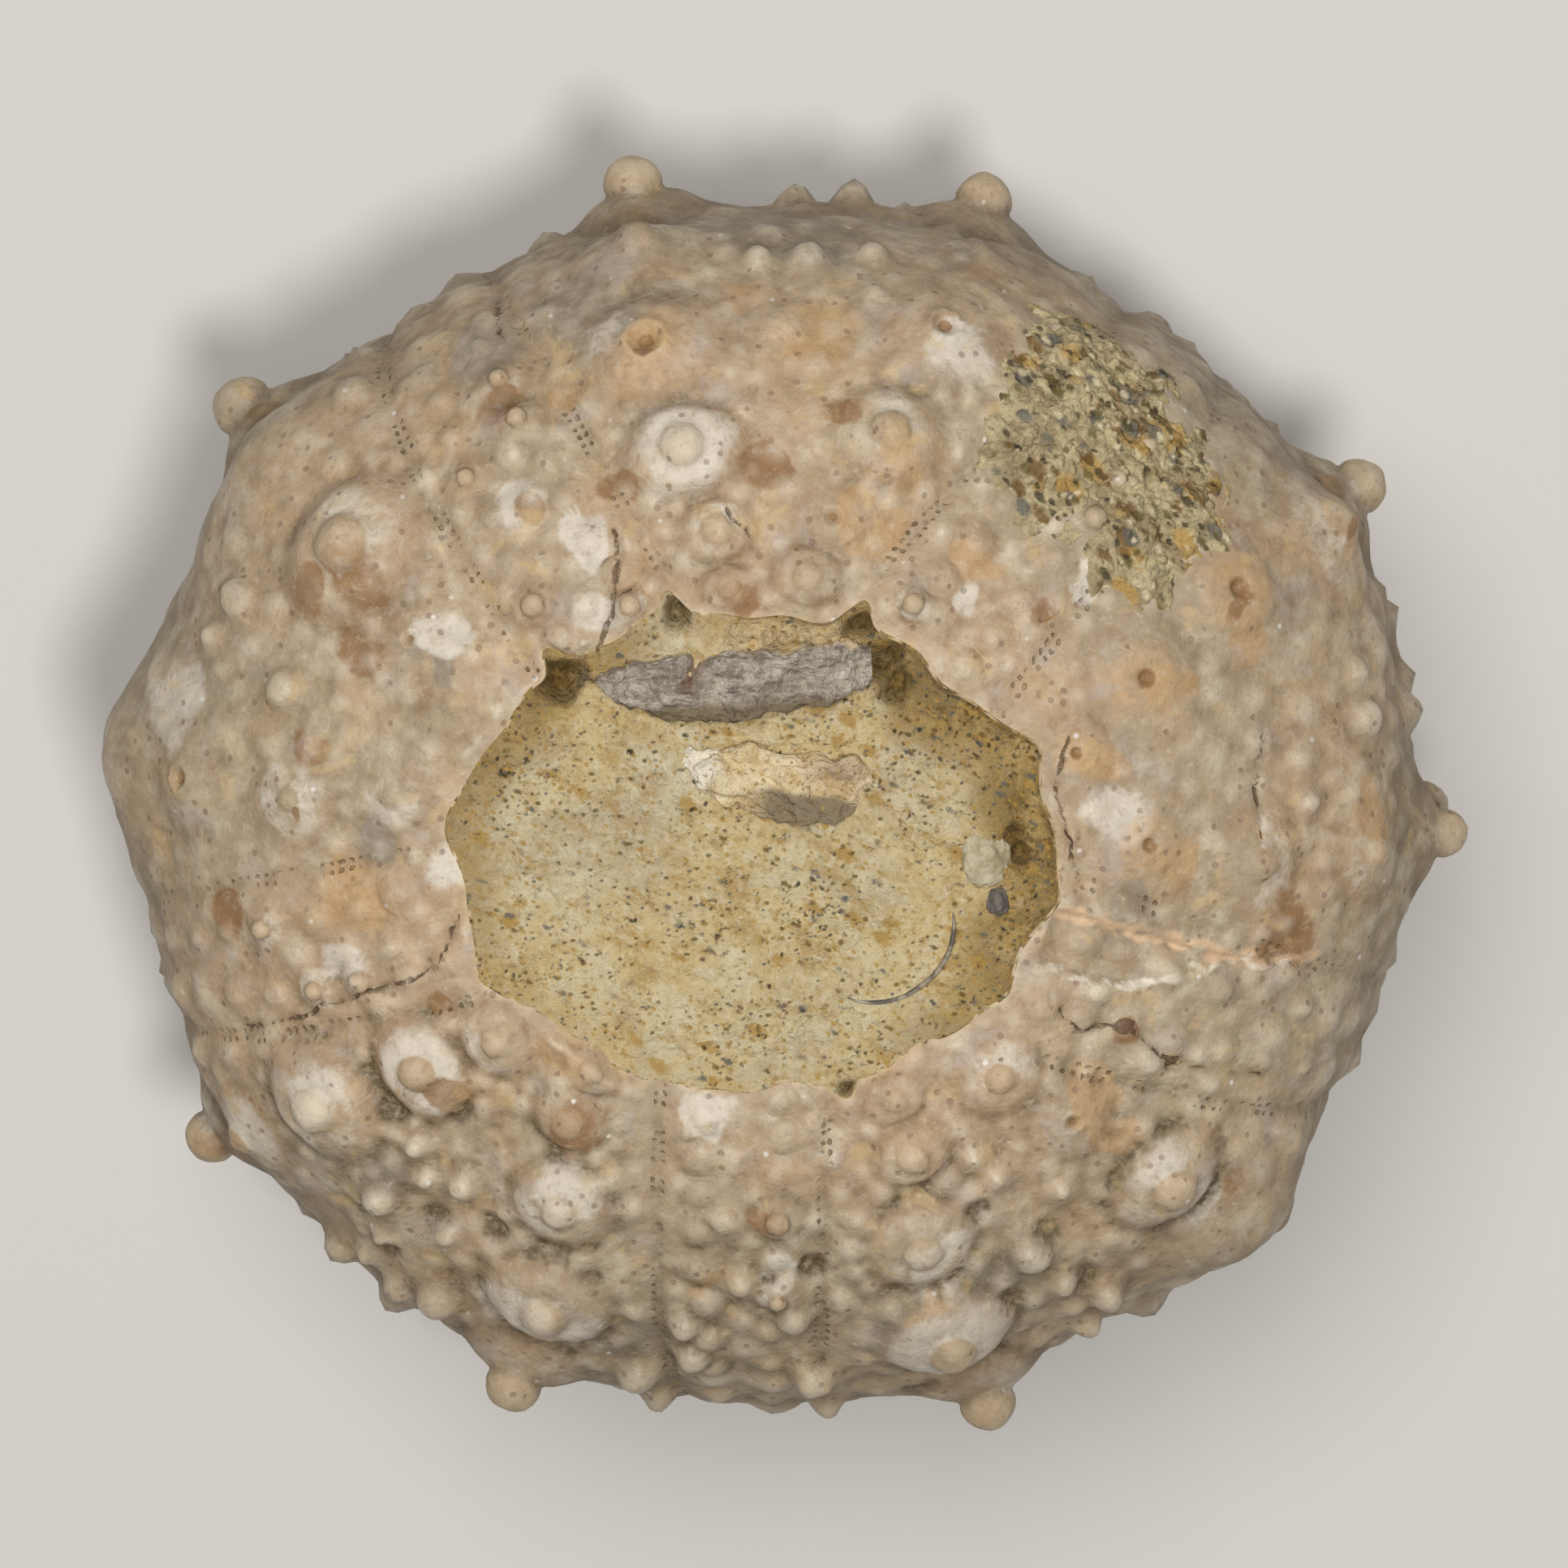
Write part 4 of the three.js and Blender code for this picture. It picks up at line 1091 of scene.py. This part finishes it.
# painted shade on the sunk edge
paint.coat(paint.times(marks[0], 0.9), (132, 116, 94))
paint.coat(paint.times(marks[1], 0.85), (238, 230, 212))
height = paint.plus(patches, paint.times(fine_grain, 0.8))
for per_mm, name, keep in [(5.0, "ochre", 0.6), (6.5, "brown", 0.78), (8.0, "olive", 0.72)]:
    found = paint.cells(per_mm, place=paint.drawn_out((per_mm * 0.011, 0.004, 0), 0.2, 1.3))
    bit = paint.plus(found.outputs["Distance"], paint.times(fine_grain, 0.4))
    bit = paint.span(bit, 0.36, 0.54, 1, 0)
    bit = paint.times(bit, paint.above(paint.split(found.outputs["Color"])[0], keep))
    paint.coat(paint.times(bit, 0.6), GRAIN_COLOURS[name])
material = paint.finish(0.88, paint.bump(height, 0.18, 1.0), 0.25)
pink = np.exp(-(((local[:, 0] - 1.5) / 0.6) ** 2) - (((local[:, 1] - 0.35) / 0.45) ** 2))
plate = write_mesh("plate_fragment", shape, world, material, marks=np.stack([sunk_shaded_edge, chip, pink], axis=1))
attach(plate, "root")
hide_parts("plate_fragment")


# ---------------------------------------------------------------- shell sliver
# The edge of a thin curved shell, a third of a millimetre through, standing on edge in the limestone.
SLIVER_RADIUS, SLIVER_FROM, SLIVER_TO = 1.78, 241, 373
SLIVER_CENTRE = (2.25, -1.95, 20.2)
SPIN_RADIUS = 20  # the spin is made large, and is brought down to size afterwards
shape = bmesh.new()
bmesh.ops.create_circle(shape, segments=16, radius=1, cap_ends=True)
bmesh.ops.rotate(shape, verts=shape.verts[:], cent=(0, 0, 0), matrix=Matrix.Rotation(np.radians(90), 3, "X"))
bmesh.ops.translate(shape, verts=shape.verts[:], vec=(SPIN_RADIUS, 0, 0))
bmesh.ops.spin(
    shape, geom=shape.verts[:] + shape.edges[:] + shape.faces[:],
    cent=(0, 0, 0), axis=(0, 0, 1), dvec=(0, 0, 0),
    angle=np.radians(SLIVER_TO - SLIVER_FROM), steps=90, use_merge=False, use_duplicate=False,
)
bmesh.ops.triangulate(shape, faces=shape.faces[:])
bmesh.ops.recalc_face_normals(shape, faces=shape.faces[:])
shape.verts.index_update()
ring = np.array([v.co[:] for v in shape.verts])
swing = np.degrees(np.arctan2(ring[:, 1], ring[:, 0])) % 360
swing = np.where(swing > 300, swing - 360, swing)
part = np.clip(swing / (SLIVER_TO - SLIVER_FROM), 0, 1)
section_out, section_up = np.hypot(ring[:, 0], ring[:, 1]) - SPIN_RADIUS, ring[:, 2]
taper = np.sqrt(np.clip(np.minimum(part, 1 - part) * 9, 0.06, 1))
wave = 1 + 0.2 * np.interp(part, [0, 0.5, 1], [0.2, -0.05, 0.35])
turn = np.radians(SLIVER_FROM + part * (SLIVER_TO - SLIVER_FROM))
radius = SLIVER_RADIUS * wave + section_out * 0.065 * taper
sliver_points = np.stack([radius * np.cos(turn), radius * np.sin(turn), section_up * 0.26 * taper], axis=1)
paint = Paint("thin_grey_shell")
streak = paint.noise(3.0, 4, 0.6)
paint.ground(paint.span(streak, 0.38, 0.62), (96, 92, 86), (172, 162, 144))
material = paint.finish(0.55, paint.bump(streak, 0.05, 0.7), 0.45)
sliver = write_mesh("shell_sliver", shape, sliver_points + SLIVER_CENTRE, material)
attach(sliver, "root")
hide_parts("shell_sliver")


# ---------------------------------------------------------------- two grains
# A pale grey-green pebble and a small dark one, bedded side by side in the limestone by the rim.
def pebble(name, centre, radii, seed, dark, light):
    shape = new_ball(5)
    unit = ways_out(shape)
    swell = 1 + 0.25 * lumps(unit, 1.3, seed) + 0.12 * lumps(unit, 3.5, seed + 1)
    swell += 0.05 * lumps(unit, 9, seed + 2)
    paint = Paint(name + "_stone")
    patches = paint.noise(2.4, 5, 0.65, shift=(seed * 0.001, 0, 0))
    paint.ground(paint.span(patches, 0.36, 0.64), dark, light)
    material = paint.finish(0.75, paint.bump(patches, 0.08, 0.8), 0.35)
    piece = write_mesh(name, shape, centre + unit * radii * swell[:, None], material)
    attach(piece, "root")
    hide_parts(name)


GREY_DARK, GREY_LIGHT = (162, 148, 118), (194, 184, 158)
pebble("grey_grain", (4.85, -0.2, 20.02), (0.62, 0.72, 0.42), 80, GREY_DARK, GREY_LIGHT)
SLATE_DARK, SLATE_LIGHT = (92, 86, 80), (124, 116, 108)
pebble("dark_grain", (5.2, -1.3, 20.1), (0.3, 0.36, 0.28), 84, SLATE_DARK, SLATE_LIGHT)


# ---------------------------------------------------------------- sediment crust
# Coarse sand and clay cemented on one shoulder: a thin patch that feathers out, of cream, ochre, brown
# and slate grains, with the shell's small tubercles showing at its lower edge.
CRUST_LATITUDE, CRUST_AZIMUTH = 23.5, 50
CRUST_HALF_LENGTH, CRUST_HALF_WIDTH = 4.5, 2.75
DEGREES_PER_MM = 4.35  # of latitude, on that shoulder
shape = new_ball(7)
way = ways_out(shape)
tilt = np.arccos(np.clip(way[:, 2], -1, 1))
turn = np.arctan2(way[:, 1], way[:, 0])
out = np.sqrt(2) * np.sin(np.minimum(tilt, np.pi - tilt) / 2)
loop = np.stack([np.cos(turn) * 1.2, np.sin(turn) * 1.2, np.zeros(len(turn))], axis=1)
ragged_edge = 1 + 0.22 * lumps(loop, 1.0, 90) + 0.14 * lumps(loop, 3.2, 91) + 0.08 * lumps(loop, 9, 95)
east_mm = out * ragged_edge * np.cos(turn) * CRUST_HALF_LENGTH - 0.3
north_mm = out * ragged_edge * np.sin(turn) * CRUST_HALF_WIDTH - 0.12 * east_mm
spot_lat = CRUST_LATITUDE + north_mm * DEGREES_PER_MM
spot_az = CRUST_AZIMUTH + np.degrees(east_mm / np.hypot(*body_point(CRUST_LATITUDE, CRUST_AZIMUTH)[:2]))
under = body_point(spot_lat, spot_az)
_, _, normal = body_frame(spot_lat, spot_az)
coarse = lumps(under, 1.1, 92)
gritty = np.abs(lumps(under, 3.0, 93)) + 0.6 * np.abs(lumps(under, 6.5, 94))
thick = (0.5 + 0.28 * coarse + 0.34 * gritty) * (1 - out**3)
lift = np.where(tilt < np.pi / 2, thick - 0.1, -0.4 + 0.3 * out**4)
paint = Paint("cemented_sand")
body = paint.noise(1.2, 5, 0.7)
paint.ground(paint.span(body, 0.38, 0.6), (168, 150, 116), (206, 190, 150))
region = paint.noise(0.42, 3, 0.6, shift=(0.03, 0.01, 0.02), warp=0.6)
# grains: how many per millimetre, length, colour, how few, and where their edges start and end
for per_mm, length, name, keep, low, high in [
    (1.5, 1.7, "ochre", 0.55, 0.38, 0.62), (1.7, 1.8, "brown", 0.55, 0.33, 0.57),
    (1.9, 1.6, "slate", 0.5, 0.33, 0.54), (2.6, 1.9, "black", 0.6, 0.28, 0.46),
    (3.4, 1.5, "pale", 0.6, 0.28, 0.52), (2.2, 1.6, "brown", 0.55, 0.33, 0.52),
    (3.8, 1.7, "black", 0.6, 0.28, 0.46), (2.9, 1.6, "olive", 0.6, 0.28, 0.52),
]:
    found = paint.cells(per_mm, place=paint.drawn_out((per_mm * 0.013, 0.002, 0.005), 2.27, length))
    chance = paint.split(found.outputs["Color"])[1]
    chance = paint.plus(chance, paint.times(paint.minus(region, 0.5), 0.8))
    reach = paint.plus(found.outputs["Distance"], paint.times(body, 0.2))
    fleck = paint.span(reach, low, high, 1, 0)
    fleck = paint.times(paint.above(chance, keep), fleck)
    paint.coat(paint.times(fleck, 0.8), GRAIN_COLOURS[name])
sand = paint.noise(4.0, 5, 0.7)
paint.coat(paint.span(sand, 0.5, 0.7, 0, 0.5), (84, 72, 50))
material = paint.finish(0.9, paint.bump(paint.plus(body, sand), 0.18, 1.0), 0.25)
crust = write_mesh("sediment_crust", shape, under + normal * lift[:, None], material)
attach(crust, "root")
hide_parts("sediment_crust")


# ---------------------------------------------------------------- floor, light and camera
# A wide pale table under a soft overhead light, with a smaller light beside the camera.
floor_shape = bmesh.new()
bmesh.ops.create_grid(floor_shape, x_segments=1, y_segments=1, size=1.5)
floor_mesh = bpy.data.meshes.new("floor")
floor_shape.to_mesh(floor_mesh)
floor_shape.free()
floor = bpy.data.objects.new("floor", floor_mesh)
scene.collection.objects.link(floor)
paint = Paint("pale_table")
paint.colour = tint(214, 212, 208)
floor_mesh.materials.append(paint.finish(0.9, None, 0.2))


def lamp(name, place, aim, size, watts):
    light = bpy.data.lights.new(name, "AREA")
    light.shape, light.size, light.energy, light.color = "DISK", size, watts, (1, 0.98, 0.945)
    holder = bpy.data.objects.new(name, light)
    scene.collection.objects.link(holder)
    holder.location = Vector(place)
    holder.rotation_mode = "QUATERNION"
    holder.rotation_quaternion = (Vector(aim) - Vector(place)).to_track_quat("-Z", "Y")


lamp("key", (-0.05, 0.11, 0.35), (0, 0, 0.01), 0.18, 0.62)
lamp("front", (0.03, 0.0, 0.32), (0, 0, 0.015), 0.05, 0.48)
world = bpy.data.worlds.new("studio")
scene.world = world
world.use_nodes = True
sky = world.node_tree.nodes["Background"]
sky.inputs["Color"].default_value = (1, 1, 1, 1)
sky.inputs["Strength"].default_value = 0.12

CAMERA_TILT, CAMERA_DISTANCE, FRAME_WIDTH = np.radians(9), 0.21, 0.04025
target = Vector((-0.00005, 0.0002, 0.011))
back = Vector((0, np.sin(CAMERA_TILT), np.cos(CAMERA_TILT)))
camera_data = bpy.data.cameras.new("camera")
camera_data.sensor_width = 36
camera_data.lens = 36 * CAMERA_DISTANCE / FRAME_WIDTH
camera_data.clip_start, camera_data.clip_end = 0.005, 10
camera = bpy.data.objects.new("camera", camera_data)
scene.collection.objects.link(camera)
camera.location = target + back * CAMERA_DISTANCE
up = Vector((0, np.cos(CAMERA_TILT), -np.sin(CAMERA_TILT)))
right = up.cross(back)
camera.rotation_mode = "QUATERNION"
camera.rotation_quaternion = Matrix((right, up, back)).transposed().to_quaternion()
scene.camera = camera
scene.view_settings.view_transform = "Standard"
